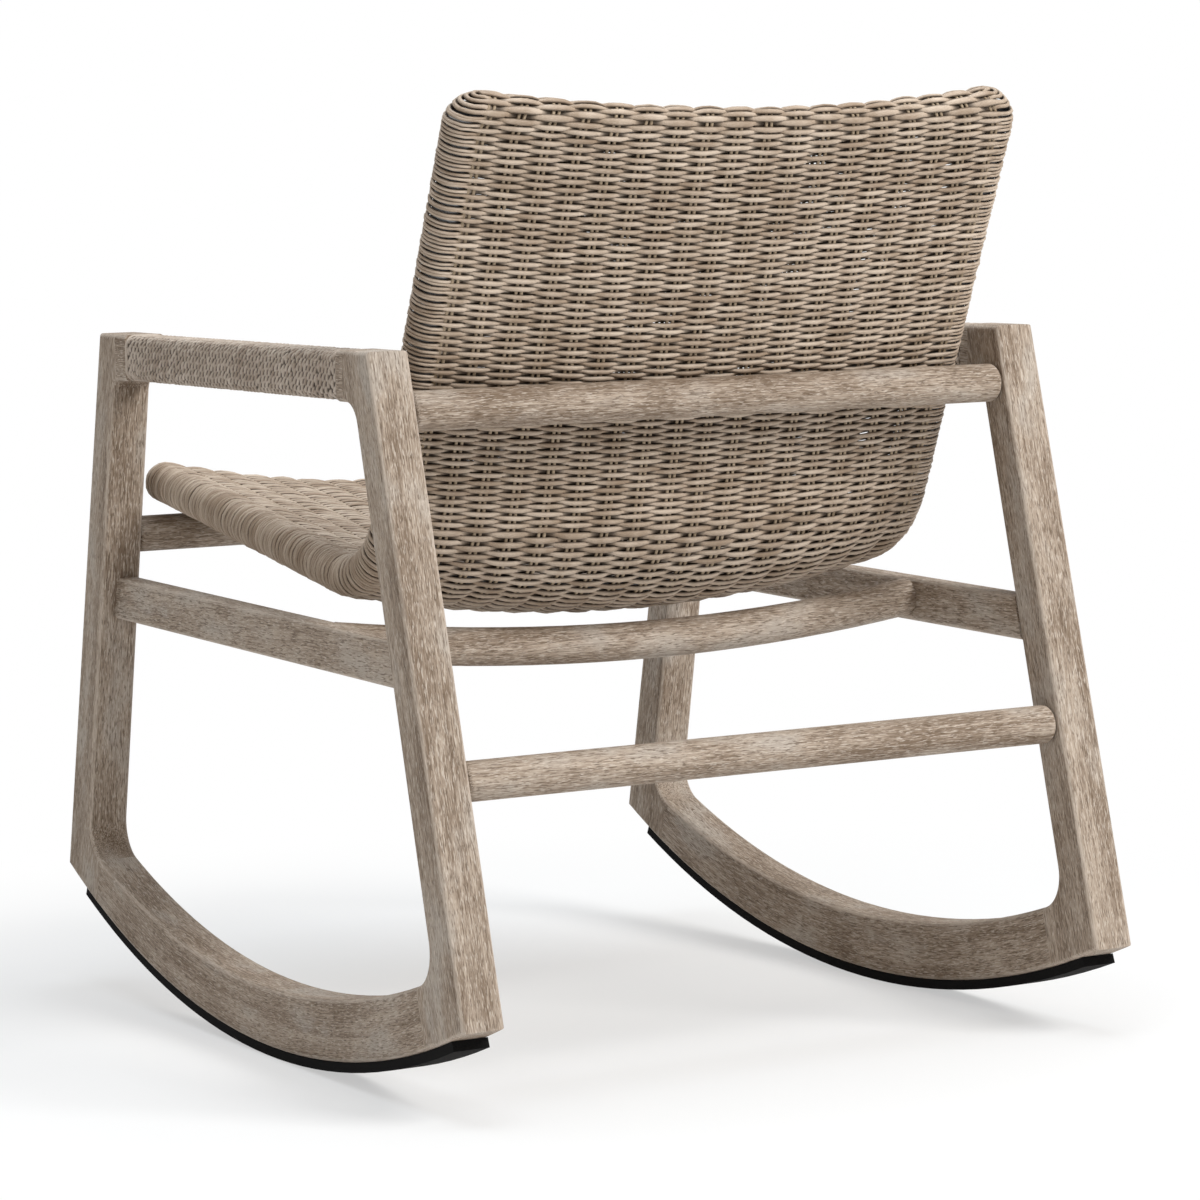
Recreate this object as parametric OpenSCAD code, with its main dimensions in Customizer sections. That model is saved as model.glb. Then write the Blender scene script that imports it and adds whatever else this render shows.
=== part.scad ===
// Wicker rocking chair: two doweled wood side frames on curved runners, four round
// crossbars, and a woven shell seat on a light inner tube frame.
// Millimetres. +Z is up, the sitter faces -Y, and the chair's left side is +X.
// The floor is at z = 0 and the chair's middle plane is x = 0. Heights and reaches are given
// with the arms rising to the rear: at_rest then rocks every piece back on the runners.

/* [Side frames] */
// Clear width between the two side frames
frame_gap = 552.2; // [520:1:620]
// Thickness of the legs, arms and runners
stock_t = 37.2; // [32:0.5:44]
// Radius of the long rounded edges of the wood
edge_r = 4.5; // [2:0.5:6]
// Height at which the legs' reach and width are given
waist_z = 343.2; // [330:1:356]
// From the chair's middle to the front legs' front edge at the waist
front_reach = 339.2; // [325:1:352]
// Width of the front legs at the waist
front_leg_w = 38.9; // [36:0.5:46]
// Lean of the front legs' front edge from vertical
front_lean = 10.55; // [9:0.1:12]
// Lean of the front legs' rear edge from vertical
front_lean_inner = 9.35; // [8:0.1:11]
// From the chair's middle to the rear legs' rear edge at the waist
rear_reach = 309.4; // [296:1:320]
// Width of the rear legs at the waist
rear_leg_w = 38.5; // [36:0.5:46]
// Lean of the rear legs' rear edge from vertical
rear_lean = 17.07; // [15:0.1:19]
// Lean of the rear legs' front edge from vertical
rear_lean_inner = 16.64; // [14.5:0.1:18.5]
// Radius between a foot and the runner, which ends at the joint
foot_fillet = 31; // [20:1:36]
// How far the arm's sleeve starts from each leg's inner edge
wrap_start = 30; // [24:1:40]
// Radius between the rear leg's head and the arm
rear_head_fillet = 22; // [10:1:26]
// Radius between the front leg's head and the arm
front_head_fillet = 12; // [8:1:20]

/* [Arms] */
// Height of the arm's top face at the chair's middle
arm_z = 590; // [575:1:605]
// Depth of the arm at the chair's middle
arm_depth = 40.5; // [36:0.5:50]
// Rise of the arm towards the rear
arm_slope = 2; // [0:0.25:4]
// Thickness of the layer wound round the arm
wrap_t = 3.3; // [2.5:0.1:4]
// Corner radius of the wound layer
wrap_corner = 10; // [8:0.5:12]

/* [Runners] */
// Radius of the runner's underside
rock_r = 937.5; // [900:1:1000]
// Where along the chair's depth the underside is lowest
rock_y = -3.7; // [-12:0.1:8]
// Depth of the runner where it is lowest
runner_depth = 49; // [42:1:58]
// Radius of the runner's top face
runner_top_r = 943; // [900:1:1000]
// How far in front of the underside's centre the top face's centre lies
runner_top_shift = 11.9; // [0:0.5:20]
// How far the chair leans back from the plane its sizes are given in, once its weight is balanced
rest_lean = 2.9; // [2.3:0.05:3.5]

/* [Pads] */
// Thickness of the non-slip pad under a runner
pad_t = 8.3; // [5:0.1:12]
// Width of the pad
pad_w = 31; // [20:0.5:34]
// From the runner's lowest point to the pad's front end
pad_front = 346; // [300:1:356]
// From the runner's lowest point to the pad's rear end
pad_rear = 366; // [300:1:372]
// Screws in each pad
pad_screws = 5; // [3:2:9]

/* [Seat-side rails] */
// Thickness of the rail
rail_t = 22.4; // [16:0.5:30]
// Depth of the rail
rail_depth = 37; // [28:0.5:44]
// Height of the rail's middle at the chair's middle
rail_z = 349.3; // [340:0.5:358]
// Rise of the rail towards the rear
rail_slope = 1.24; // [0:0.1:3]

/* [Crossbars] */
// Diameter of the four round bars
bar_d = 32; // [26:0.5:34]
// Radius that rounds a bar's ends
bar_end_r = 5; // [2:0.5:5]
// Diameter of the round tenon on a bar's end
tenon_d = 18; // [12:0.5:18]
// Length of a tenon in a leg
tenon_len = 25; // [15:1:30]
// Height of the back crossbar
back_bar_z = 550.1; // [520:1:560]
// Height of the lower stretcher
stretcher_z = 271.4; // [200:1:300]
// Where the curved seat crossbar meets the rails
seat_bar_y = 100; // [60:1:140]
// How far the seat crossbar's ends lie above the rails' middle line
seat_bar_up = 2; // [-4:0.5:5]
// How far the seat crossbar's middle hangs below its ends
seat_bar_sag = 17.5; // [5:0.5:25]
// How far the seat crossbar's middle lies behind its ends
seat_bar_bulge = 9.4; // [2:0.2:15]
// Length of the seat crossbar's tenon in a rail
seat_tenon_len = 15; // [10:1:18]
// Where the front crossbar touches the shell, from its front edge
front_bar_at = 4.5; // [0:0.5:12]

/* [Woven shell] */
// From the chair's middle to the centre line of a side edge
shell_half = 245.4; // [225:0.5:248]
// Radius of the thick rounded edges
roll_r = 17.85; // [14:0.25:20]
// Thickness of each woven layer
weave_t = 4; // [3:0.25:5]
// Thickness of the shell at its middle
shell_mid_t = 18; // [16:0.5:24]
// How far the front edge's centre line lies ahead of the front legs' middle
front_overhang = 7.8; // [4:0.2:12]
// Height of the front edge's centre line
shell_front_z = 443.65; // [430:0.5:460]
// Fall of the seat towards the rear
seat_pitch = 6.55; // [3:0.25:10]
// Lean of the back from vertical
recline = 21.1; // [16:0.25:25]
// Length of the back from the corner of the shell's side outline to the top edge
back_len = 414; // [380:1:460]
// Radius of the bend between seat and back
bend_r = 88.5; // [70:1:110]
// How far the outer layer bows out at the front edge
bow_front = 11; // [5:0.5:16]
// How far it bows out at the bend
bow_bend = 26.4; // [18:0.5:32]
// How far it bows out where it touches the back crossbar
bow_bar = 10.8; // [8:0.2:14]
// How far it bows out at the top edge
bow_top = 10; // [6:0.5:14]
// Wall of the inner tubes
tube_wall = 1.5; // [1:0.25:2.5]
// Gap between a cross rod and the woven layers
rod_gap = 0.5; // [0.4:0.1:1]
// How far the top edge dips at its middle
top_dip = 8; // [0:0.5:14]

/* [Fasteners] */
// Diameter of the dowels in the runner joints
dowel_d = 10; // [8:0.5:12]
// Length of the dowels in the runner and arm joints
dowel_len = 44; // [30:1:50]
// Diameter of the dowels in the arm and rail joints
small_dowel_d = 8; // [6:0.5:9]
// Length of the dowels in the rail joints
rail_dowel_len = 40; // [30:1:46]
// Diameter of the threaded pins that hold the shell
pin_d = 5; // [4:0.25:6]
// Length of a pin inside its crossbar
pin_grip = 18; // [10:1:24]
// From the middle to a pin
pin_x = 60; // [40:1:90]
// Shank diameter of the pad screws
pad_screw_d = 4; // [3:0.25:4.5]
// Head diameter of the pad screws
pad_screw_head_d = 8; // [6:0.25:9]
// Height of a pad screw's head
pad_screw_head_h = 2.2; // [1.5:0.1:3]
// Depth of a pad screw in the runner
pad_screw_grip = 18; // [10:1:26]
// Pad left between a screw's head and the runner
pad_screw_seat = 3; // [2:0.25:3.5]
// From a foot joint to the nearest screw of the pad
pad_screw_inset = 40; // [34:1:60]

/* [Fits] */
// Gap between a piece and its seat
seat_gap = 0.3; // [0.2:0.05:0.5]
// Gap round a dowel, tenon or screw in its bore
bore_gap = 0.15; // [0.1:0.05:0.3]
// Extra depth of a blind bore
bore_spare = 1; // [0.5:0.25:2]

/* [Hidden] */

// Fragments of a full turn: on round stock, on the long arcs and on the rounded edges
$fn = 64;
arc_fn = 720;
edge_fn = 48;
wood = "#a8937c";
wicker = "#b5a288";
rubber = "#1d1d1f";
steel = "#8d9094";

// Reach of the blocks and boards that cut the pieces to shape
far = 1500;
deep = 700;
edge_over = 0.03;

// The side frames' plane holds points as [depth, height].
// Each leg is drawn in its own end's plane, where depth runs from the middle to that end.
frame_x = frame_gap / 2 + stock_t / 2;
rail_x = frame_gap / 2 + rail_t / 2;
rock_c = [rock_y, pad_t + rock_r];
top_c = [rock_y - runner_top_shift, pad_t + runner_depth + runner_top_r];
arm_under_z = arm_z - arm_depth;

function unit(a) = [cos(a), sin(a)];
function heading(v) = atan2(v[1], v[0]);
function turn_right(v) = [v[1], -v[0]];
// Where a ray from p in direction e leaves the circle round c
function leaves_circle(p, e, c, r) = let (w = p - c, b = w * e) p + e * (-b + sqrt(b * b - w * w + r * r));

// A leg's data: [end's sign, reach, width, outer lean, inner lean, fillet at its head]
front_leg = [-1, front_reach, front_leg_w, front_lean, front_lean_inner, front_head_fillet];
rear_leg = [1, rear_reach, rear_leg_w, rear_lean, rear_lean_inner, rear_head_fillet];

function inner_u(leg, z) = leg[1] - leg[2] - tan(leg[4]) * (z - waist_z);
function outer_u(leg, z) = leg[1] - tan(leg[3]) * (z - waist_z);
function leg_centre_y(leg, z) = leg[0] * (inner_u(leg, z) + outer_u(leg, z)) / 2;
function down_inner(leg) = [sin(leg[4]), -cos(leg[4])];
function seen_from(leg, p) = [leg[0] * p[0], p[1]];
function arm_rise(leg) = leg[0] * arm_slope;

// Centre of the fillet between the inner edge and the runner's top
function foot_centre(leg) =
    let (e = down_inner(leg), p = [inner_u(leg, waist_z), waist_z] + turn_right(e) * foot_fillet)
    leaves_circle(p, e, seen_from(leg, top_c), runner_top_r - foot_fillet);

// Centre of the fillet between the inner edge and the arm's underside
function head_centre(leg) =
    let (e = down_inner(leg),
         p = [inner_u(leg, waist_z), waist_z] + turn_right(e) * leg[5],
         up = unit(90 + arm_rise(leg)))
    p + e * ((([0, arm_under_z] - p) * up - leg[5]) / (e * up));

// Each joint starts where the leg's fillet ends. The foot's runs parallel to the leg's inner
// edge, the head's square to the arm.
function to_runner(leg) = unit(heading(foot_centre(leg) - seen_from(leg, top_c)));
function foot_joint(leg) = foot_centre(leg) + to_runner(leg) * foot_fillet;
function foot_joint_middle(leg) =
    leaves_circle(foot_joint(leg), down_inner(leg), seen_from(leg, rock_c), rock_r - runner_depth / 2);
// Places along the arm, from the chair's middle towards the leg's end
function head_joint(leg) = (head_centre(leg) - [0, arm_z]) * unit(arm_rise(leg));
function wrap_end(leg) =
    let (p = [inner_u(leg, arm_under_z), arm_under_z]) (p - [0, arm_z]) * unit(arm_rise(leg)) - wrap_start;
arm_d = arm_depth * cos(arm_slope);
function head_joint_middle(leg) =
    [0, arm_z] + unit(arm_rise(leg)) * head_joint(leg) - unit(90 + arm_rise(leg)) * arm_d / 2;
// Middle of the seat-side rail where it meets the leg
function rail_joint_middle(leg) =
    let (z = rail_z + leg[0] * tan(rail_slope) * inner_u(leg, rail_z)) [inner_u(leg, z), z];

// Turns a shape of the side plane upright: its x to +Y, its y to +Z, its thickness along X
module upright(at_x) translate([at_x, 0, 0]) rotate([90, 0, 90]) children();

// Flips a shape drawn towards +x to the leg's own end
module at_end_of(leg) {
    if (leg[0] > 0)
        children();
    else
        mirror([1, 0, 0]) children();
}

// Keeps what the front and the rear leg's child, drawn for $leg, have in common
module between_legs()
    intersection_for ($leg = [front_leg, rear_leg])
        at_end_of($leg) children();

// Rocks a piece back on the runners' underside until the weight is balanced, with the two
// feet equally far from the origin
function foot_corner(leg) =
    leaves_circle([leg[1], waist_z], [sin(leg[3]), -cos(leg[3])], seen_from(leg, rock_c), rock_r);
function rocked(p) =
    let (v = p - rock_c) rock_c + [v * unit(rest_lean), v * unit(90 + rest_lean)];
rest_y = -(rocked(seen_from(front_leg, foot_corner(front_leg)))[0] + rocked(foot_corner(rear_leg))[0]) / 2;
module at_rest()
    translate([0, rock_c[0] + rest_y, rock_c[1]]) rotate([-rest_lean, 0, 0])
        translate([0, -rock_c[0], -rock_c[1]]) children();

// Puts a left-hand piece on its side of the chair
module on_side(side)
    at_rest() {
        if (side > 0)
            children();
        else
            mirror([1, 0, 0]) children();
    }

// Board section whose edge lies at x = 0 with two rounded corners
module rim_section(t = stock_t) {
    translate([edge_r, -t / 2]) square([deep - edge_r, t]);
    translate([0, edge_r - t / 2]) square([2 * edge_r, t - 2 * edge_r]);
    for (s = [-1, 1])
        translate([edge_r, s * (t / 2 - edge_r)]) circle(edge_r, $fn = edge_fn);
}

// Section that a cutter leaves standing. It is a hair thicker than the board, so that the
// rounded edge it cuts crosses the board's face instead of only touching it.
module kept_section() rim_section(stock_t + 2 * edge_over);

module rounded_rect(w, h, r) {
    square([w - 2 * r, h], center = true);
    square([w, h - 2 * r], center = true);
    for (sx = [-1, 1], sy = [-1, 1])
        translate([sx * (w / 2 - r), sy * (h / 2 - r)]) circle(r);
}

// Board on the left of the line through p at angle a, with that edge rounded
module board_left_of(p, a)
    translate(p) rotate(a) rotate([90, 0, 90])
        linear_extrude(2 * far, center = true) rim_section();

// Plain block on the left of the line through p at angle a
module left_of(p, a)
    translate(p) rotate(a) translate([-far, 0, -stock_t]) cube([2 * far, far, 2 * stock_t]);

// Board inside an arc round c, with its rim rounded
module board_inside_arc(c, r, from, span)
    translate(c) rotate(from) rotate_extrude(angle = span, $fn = arc_fn)
        translate([r, 0]) mirror([1, 0]) rim_section();

// What a rounded convex edge round c leaves empty
module beyond_arc(c, r, from, span)
    translate(c) rotate(from) rotate_extrude(angle = span, $fn = arc_fn)
        difference() {
            translate([r - edge_r, -stock_t]) square([deep, 2 * stock_t]);
            translate([r, 0]) mirror([1, 0]) kept_section();
        }

// What a rounded concave edge round c leaves empty
module hollow_arc(c, r, from, span, reach)
    translate(c) rotate(from) rotate_extrude(angle = span, $fn = arc_fn)
        difference() {
            translate([r - reach, -stock_t]) square([reach + edge_r, 2 * stock_t]);
            translate([r, 0]) kept_section();
        }

// Window side of a leg: its straight inner edge and the fillets at its head and its foot. Its
// x runs down the inner edge and its y inwards.
module leg_window(leg) {
    head = (head_centre(leg) - foot_centre(leg)) * down_inner(leg);
    translate(foot_centre(leg)) rotate(heading(down_inner(leg))) mirror([0, 1, 0]) {
        hollow_arc([0, 0], foot_fillet, 270, 88, foot_fillet);
        translate([head, 0]) rotate([90, 0, 90]) linear_extrude(-head) difference() {
            translate([-foot_fillet - edge_r, -stock_t]) square([deep, 2 * stock_t]);
            translate([-foot_fillet, 0]) mirror([1, 0]) kept_section();
        }
        hollow_arc([head, leg[5] - foot_fillet], leg[5], 180, 90, leg[5]);
    }
}

// Side view of a leg with its rounded edges, before its bores
module leg_board(leg) {
    outer = [leg[1], waist_z];
    rise = arm_rise(leg);
    difference() {
        intersection() {
            board_left_of(outer, 90 + leg[3]);
            board_left_of([0, arm_z], 180 + rise);
            left_of(foot_joint(leg), heading(down_inner(leg)));
            left_of(head_centre(leg), 270 + rise);
        }
        leg_window(leg);
        beyond_arc(seen_from(leg, rock_c), rock_r, 264, 60);
    }
}

// Puts children on both dowels of a joint, along x: p is the joint's middle in its end's plane
module at_dowels(p, along, spread)
    for (s = [-1, 1])
        translate(p + s * spread / 2 * turn_right(unit(along))) rotate(along) rotate([0, 90, 0]) children();

// Direction across each joint plane
function foot_dowel_angle(leg) = heading(turn_right(down_inner(leg)));
runner_dowel_spread = runner_depth * 0.4;
arm_dowel_spread = arm_depth * 0.38;
rail_dowel_spread = rail_depth * 0.45;

module dowel(d, len) cylinder(d = d, h = len, center = true);
module dowel_bore(d, len) cylinder(d = d + 2 * bore_gap, h = len + 2 * bore_spare, center = true);

module runner_dowel_holes(leg)
    at_dowels(foot_joint_middle(leg), foot_dowel_angle(leg), runner_dowel_spread) dowel_bore(dowel_d, dowel_len);
module arm_dowel_holes(leg)
    at_dowels(head_joint_middle(leg), arm_rise(leg), arm_dowel_spread) dowel_bore(small_dowel_d, dowel_len);
module rail_dowel_holes(leg)
    at_dowels(rail_joint_middle(leg), arm_rise(leg), rail_dowel_spread) dowel_bore(small_dowel_d, rail_dowel_len);

// Blind bore for a bar's tenon in the left-hand frame, at depth y and height z
module tenon_bore(y, z, len)
    translate([frame_gap / 2 - bore_spare, y, z]) rotate([0, 90, 0])
        cylinder(d = tenon_d + 2 * bore_gap, h = len + 2 * bore_spare);

module leg(leg, side) {
    color(wood) on_side(side) difference() {
        upright(frame_x) at_end_of(leg) leg_board(leg);
        upright(frame_x) at_end_of(leg) {
            runner_dowel_holes(leg);
            arm_dowel_holes(leg);
        }
        upright(rail_x) at_end_of(leg) rail_dowel_holes(leg);
        if (leg[0] > 0) {
            tenon_bore(leg_centre_y(leg, back_bar_z), back_bar_z, tenon_len);
            tenon_bore(leg_centre_y(leg, stretcher_z), stretcher_z, tenon_len);
        } else
            tenon_bore(front_bar[0], front_bar[1], tenon_len);
    }
}

// Stretch of the arm between two places along it, inset from its surface
module arm_stretch(from, to, inset, corner)
    translate([0, arm_z]) rotate(arm_slope) translate([from, -arm_d / 2]) rotate([90, 0, 90])
        linear_extrude(to - from) rounded_rect(arm_d - 2 * inset, stock_t - 2 * inset, corner);

module arm_rail(side)
    color(wood) on_side(side) upright(frame_x) difference() {
        union() {
            arm_stretch(-head_joint(front_leg), head_joint(rear_leg), wrap_t + seat_gap, wrap_corner - wrap_t);
            arm_stretch(-head_joint(front_leg), -wrap_end(front_leg), 0, edge_r);
            arm_stretch(wrap_end(rear_leg), head_joint(rear_leg), 0, edge_r);
        }
        for (leg = [front_leg, rear_leg])
            at_end_of(leg) arm_dowel_holes(leg);
    }

module arm_wrap(side)
    color(wicker) on_side(side) upright(frame_x) difference() {
        arm_stretch(-wrap_end(front_leg), wrap_end(rear_leg), 0, wrap_corner);
        arm_stretch(-far / 2, far / 2, wrap_t, wrap_corner - wrap_t);
    }

seat_bar_z = rail_z + tan(rail_slope) * seat_bar_y + seat_bar_up;

module seat_rail(side)
    color(wood) on_side(side) difference() {
        upright(rail_x) intersection() {
            translate([0, rail_z]) rotate(rail_slope) rotate([90, 0, 90])
                linear_extrude(far, center = true) rounded_rect(rail_depth, rail_t, edge_r);
            between_legs() left_of([inner_u($leg, waist_z), waist_z], heading(-down_inner($leg)));
        }
        upright(rail_x) for (leg = [front_leg, rear_leg])
            at_end_of(leg) rail_dowel_holes(leg);
        tenon_bore(seat_bar_y, seat_bar_z, seat_tenon_len);
    }

// Reach of a pad's last screw along the runner's underside, from its lowest point
function screw_reach(leg) =
    let (foot = leaves_circle(foot_joint(leg), down_inner(leg), seen_from(leg, rock_c), rock_r))
    foot[0] - leg[0] * rock_y - pad_screw_inset;

// Puts children at each pad screw, z pointing from the arc's centre outwards
module at_pad_screws()
    for (i = [0 : pad_screws - 1]) {
        y = (screw_reach(front_leg) + screw_reach(rear_leg)) * i / (pad_screws - 1) - screw_reach(front_leg);
        translate(rock_c) rotate(asin(y / rock_r) - 90) rotate([0, 90, 0]) children();
    }

module runner(side)
    color(wood) on_side(side) upright(frame_x) difference() {
        intersection() {
            board_inside_arc(rock_c, rock_r, 245, 50);
            between_legs() left_of(foot_joint($leg), heading(-down_inner($leg)));
        }
        hollow_arc(top_c, runner_top_r, 240, 60, deep);
        for (leg = [front_leg, rear_leg])
            at_end_of(leg) runner_dowel_holes(leg);
        at_pad_screws() translate([0, 0, rock_r - pad_screw_grip - bore_spare])
            cylinder(d = pad_screw_d + 2 * bore_gap, h = pad_screw_grip + 2 * bore_spare);
    }

module runner_pad(side) {
    from = -asin(pad_front / rock_r);
    to = asin(pad_rear / rock_r);
    color(rubber) on_side(side) upright(frame_x) difference() {
        translate(rock_c) rotate(270 + from) rotate_extrude(angle = to - from, $fn = arc_fn)
            translate([rock_r + seat_gap, -pad_w / 2]) square([pad_t - seat_gap, pad_w]);
        at_pad_screws() {
            translate([0, 0, rock_r]) cylinder(d = pad_screw_d + 2 * bore_gap, h = 2 * pad_t);
            translate([0, 0, rock_r + pad_screw_seat - bore_gap])
                cylinder(d = pad_screw_head_d + 2 * bore_gap, h = 2 * pad_t);
        }
    }
}

module screws_of_pad(side)
    color(steel) on_side(side) upright(frame_x) at_pad_screws() {
        translate([0, 0, rock_r - pad_screw_grip])
            cylinder(d = pad_screw_d, h = pad_screw_grip + pad_screw_seat + pad_screw_head_h / 2);
        translate([0, 0, rock_r + pad_screw_seat])
            cylinder(d = pad_screw_head_d, h = pad_screw_head_h);
    }

module dowels_of_runner(side)
    color(wood) on_side(side) upright(frame_x) for (leg = [front_leg, rear_leg])
        at_end_of(leg) at_dowels(foot_joint_middle(leg), foot_dowel_angle(leg), runner_dowel_spread)
            dowel(dowel_d, dowel_len);

module dowels_of_arm(side)
    color(wood) on_side(side) upright(frame_x) for (leg = [front_leg, rear_leg])
        at_end_of(leg) at_dowels(head_joint_middle(leg), arm_rise(leg), arm_dowel_spread)
            dowel(small_dowel_d, dowel_len);

module dowels_of_rail(side)
    color(wood) on_side(side) upright(rail_x) for (leg = [front_leg, rear_leg])
        at_end_of(leg) at_dowels(rail_joint_middle(leg), arm_rise(leg), rail_dowel_spread)
            dowel(small_dowel_d, rail_dowel_len);

// Straight round bar along X with rounded shoulders and a tenon at each end
module round_bar(at)
    translate([0, at[0], at[1]]) rotate([0, 90, 0]) rotate_extrude() {
        translate([0, -frame_gap / 2]) square([bar_d / 2 - bar_end_r, frame_gap]);
        translate([0, bar_end_r - frame_gap / 2]) square([bar_d / 2, frame_gap - 2 * bar_end_r]);
        for (s = [-1, 1])
            translate([bar_d / 2 - bar_end_r, s * (frame_gap / 2 - bar_end_r)]) circle(bar_end_r);
        translate([0, -frame_gap / 2 - tenon_len]) square([tenon_d / 2, frame_gap + 2 * tenon_len]);
    }

// Round rod along X, cut off at cut, whose middle stands off its ends' line by [y, z] of sag
module bowed_rod(at, sag, half, cut, d) {
    m = norm(sag);
    r = (half * half + m * m) / (2 * m);
    swing = asin(half / r) + 1;
    intersection() {
        translate([0, at[0], at[1]]) rotate([heading(sag), 0, 0]) translate([0, m - r, 0])
            rotate(90 - swing) rotate_extrude(angle = 2 * swing, $fn = arc_fn)
                translate([r, 0]) circle(d = d, $fn = edge_fn);
        translate([0, at[0], at[1]]) cube([2 * cut, deep, deep], center = true);
    }
}

// The side edges' centre line runs from the front edge along the seat, round the bend and up
// the back. A place on it is its distance from the front edge.
bend_turn = 90 - recline + seat_pitch;
bend_tangent = bend_r * tan(bend_turn / 2);
bend_arc = bend_r * bend_turn * PI / 180;

// The front edge lies over the front legs. The seat is as long as brings the back to the
// back crossbar, which sits in the middle of the rear legs and touches the outer layer.
front_c = [leg_centre_y(front_leg, shell_front_z) - front_overhang, shell_front_z];
back_bar = [leg_centre_y(rear_leg, back_bar_z), back_bar_z];
behind_back = unit(-recline);
bar_stand_off = roll_r + bow_bar + seat_gap + bar_d / 2;
seat_len = ((back_bar - front_c) * behind_back - bar_stand_off) / (unit(-seat_pitch) * behind_back);
seat_flat = seat_len - bend_tangent;
shell_end = seat_flat + bend_arc + back_len - bend_tangent;

function turned(d) = min(max((d - seat_flat) / bend_r * 180 / PI, 0), bend_turn);
function outward(d) = unit(270 - seat_pitch + turned(d));
function forth(d) = unit(-seat_pitch + turned(d));
bend_c = front_c + forth(0) * seat_flat - outward(0) * bend_r;
function spine(d) =
    d < seat_flat ? front_c + forth(0) * d
    : bend_c + outward(d) * bend_r + forth(d) * max(d - seat_flat - bend_arc, 0);

back_bar_at = shell_end + (back_bar - spine(shell_end)) * forth(shell_end);

// The outer layer's bow eases from place to place
bow_places = [[0, bow_front], [seat_flat + bend_arc / 2, bow_bend], [back_bar_at, bow_bar], [shell_end, bow_top]];
function eased(t) = t * t * (3 - 2 * t);
function between(a, b, d) = a[1] + (b[1] - a[1]) * eased(min(max((d - a[0]) / (b[0] - a[0]), 0), 1));
function bow(d) = let (p = bow_places)
    d < p[1][0] ? between(p[0], p[1], d) : d < p[2][0] ? between(p[1], p[2], d) : between(p[2], p[3], d);
function dip(d) = top_dip * sin(90 * min(max((d - seat_flat) / (shell_end - seat_flat), 0), 1));

// The layers part less in the middle, so the middle surface bows by this much more
thinning = roll_r - shell_mid_t / 2;
function middle_bow(d) = bow(d) + thinning;

// The front crossbar touches the outer layer too
front_bar = spine(front_bar_at) + outward(front_bar_at) * (roll_r + bow(front_bar_at) + bar_d / 2 + seat_gap);

// Cross rods, from the front edge to the top edge: the second last stands behind the back crossbar
pin_share = 1 - pow(pin_x / shell_half, 2);
back_rod_at = back_bar_at + dip(back_bar_at) * pin_share;
rod_d = shell_mid_t - 2 * weave_t - 2 * rod_gap;
rod_places = [front_bar_at, seat_flat * 0.55, seat_flat + bend_arc / 2, back_rod_at, shell_end - rod_d / 2 - rod_gap];
tube_r = roll_r - weave_t - 2 * seat_gap;
tube_step = 0.05;

// A pin runs outwards from its rod's middle into its bar
function pin_start(d) = middle_bow(d) * pin_share;
pin_places = [[front_bar_at, front_bar_at], [back_rod_at, back_bar_at]];
function pin_length(d) = roll_r + bow(d) + seat_gap + pin_grip - pin_start(d);

// Puts children at each pin, z pointing outwards from the rod's middle
module at_pins(places = pin_places)
    for (p = places, s = [-1, 1]) {
        foot = spine(p[1]) + outward(p[1]) * pin_start(p[0]);
        translate([s * pin_x, foot[0], foot[1]]) rotate([heading(outward(p[1])) - 90, 0, 0]) children();
    }

module pin_holes(places, gap)
    at_pins(places) translate([0, 0, -bore_spare / 2])
        cylinder(d = pin_d + 2 * gap, h = pin_length(front_bar_at) + 2 * bore_spare);

module back_crossbar()
    color(wood) at_rest() difference() {
        round_bar(back_bar);
        pin_holes([pin_places[1]], bore_gap);
    }

module front_crossbar()
    color(wood) at_rest() difference() {
        round_bar(front_bar);
        pin_holes([pin_places[0]], bore_gap);
    }

module lower_stretcher()
    color(wood) at_rest() round_bar([leg_centre_y(rear_leg, stretcher_z), stretcher_z]);

module seat_crossbar()
    color(wood) at_rest() {
        bowed_rod([seat_bar_y, seat_bar_z], [seat_bar_bulge, -seat_bar_sag],
            frame_gap / 2, frame_gap / 2, bar_d);
        for (s = [-1, 1])
            translate([s * (frame_gap / 2 - tenon_d / 2), seat_bar_y, seat_bar_z]) rotate([0, s * 90, 0])
                cylinder(d = tenon_d, h = tenon_d / 2 + seat_tenon_len);
    }

module tube_section(extra = 0)
    difference() {
        circle(tube_r + extra, $fn = edge_fn);
        circle(tube_r - tube_wall - extra, $fn = edge_fn);
    }

// Drawn from the bend's centre, its start on the local x axis. The back run is a hair thicker.
module shell_tube(side)
    color(steel) at_rest() upright(side * shell_half) translate(bend_c) rotate(heading(outward(0))) {
        rotate_extrude(angle = bend_turn, $fn = arc_fn / 4) translate([bend_r, 0]) tube_section();
        translate([bend_r, 0, 0]) rotate([90, 0, 0]) linear_extrude(seat_flat) tube_section();
        rotate(bend_turn) translate([bend_r, 0, 0]) rotate([-90, 0, 0])
            linear_extrude(back_len - bend_tangent) tube_section(tube_step);
    }

module shell_cross_rods()
    color(steel) at_rest() difference() {
        for (d = rod_places)
            bowed_rod(spine(d), outward(d) * middle_bow(d) - forth(d) * dip(d), shell_half,
                shell_half - tube_r - seat_gap, rod_d);
        pin_holes(pin_places, bore_gap);
    }

module shell_pins()
    color(steel) at_rest() at_pins() cylinder(d = pin_d, h = pin_length(front_bar_at));

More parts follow.
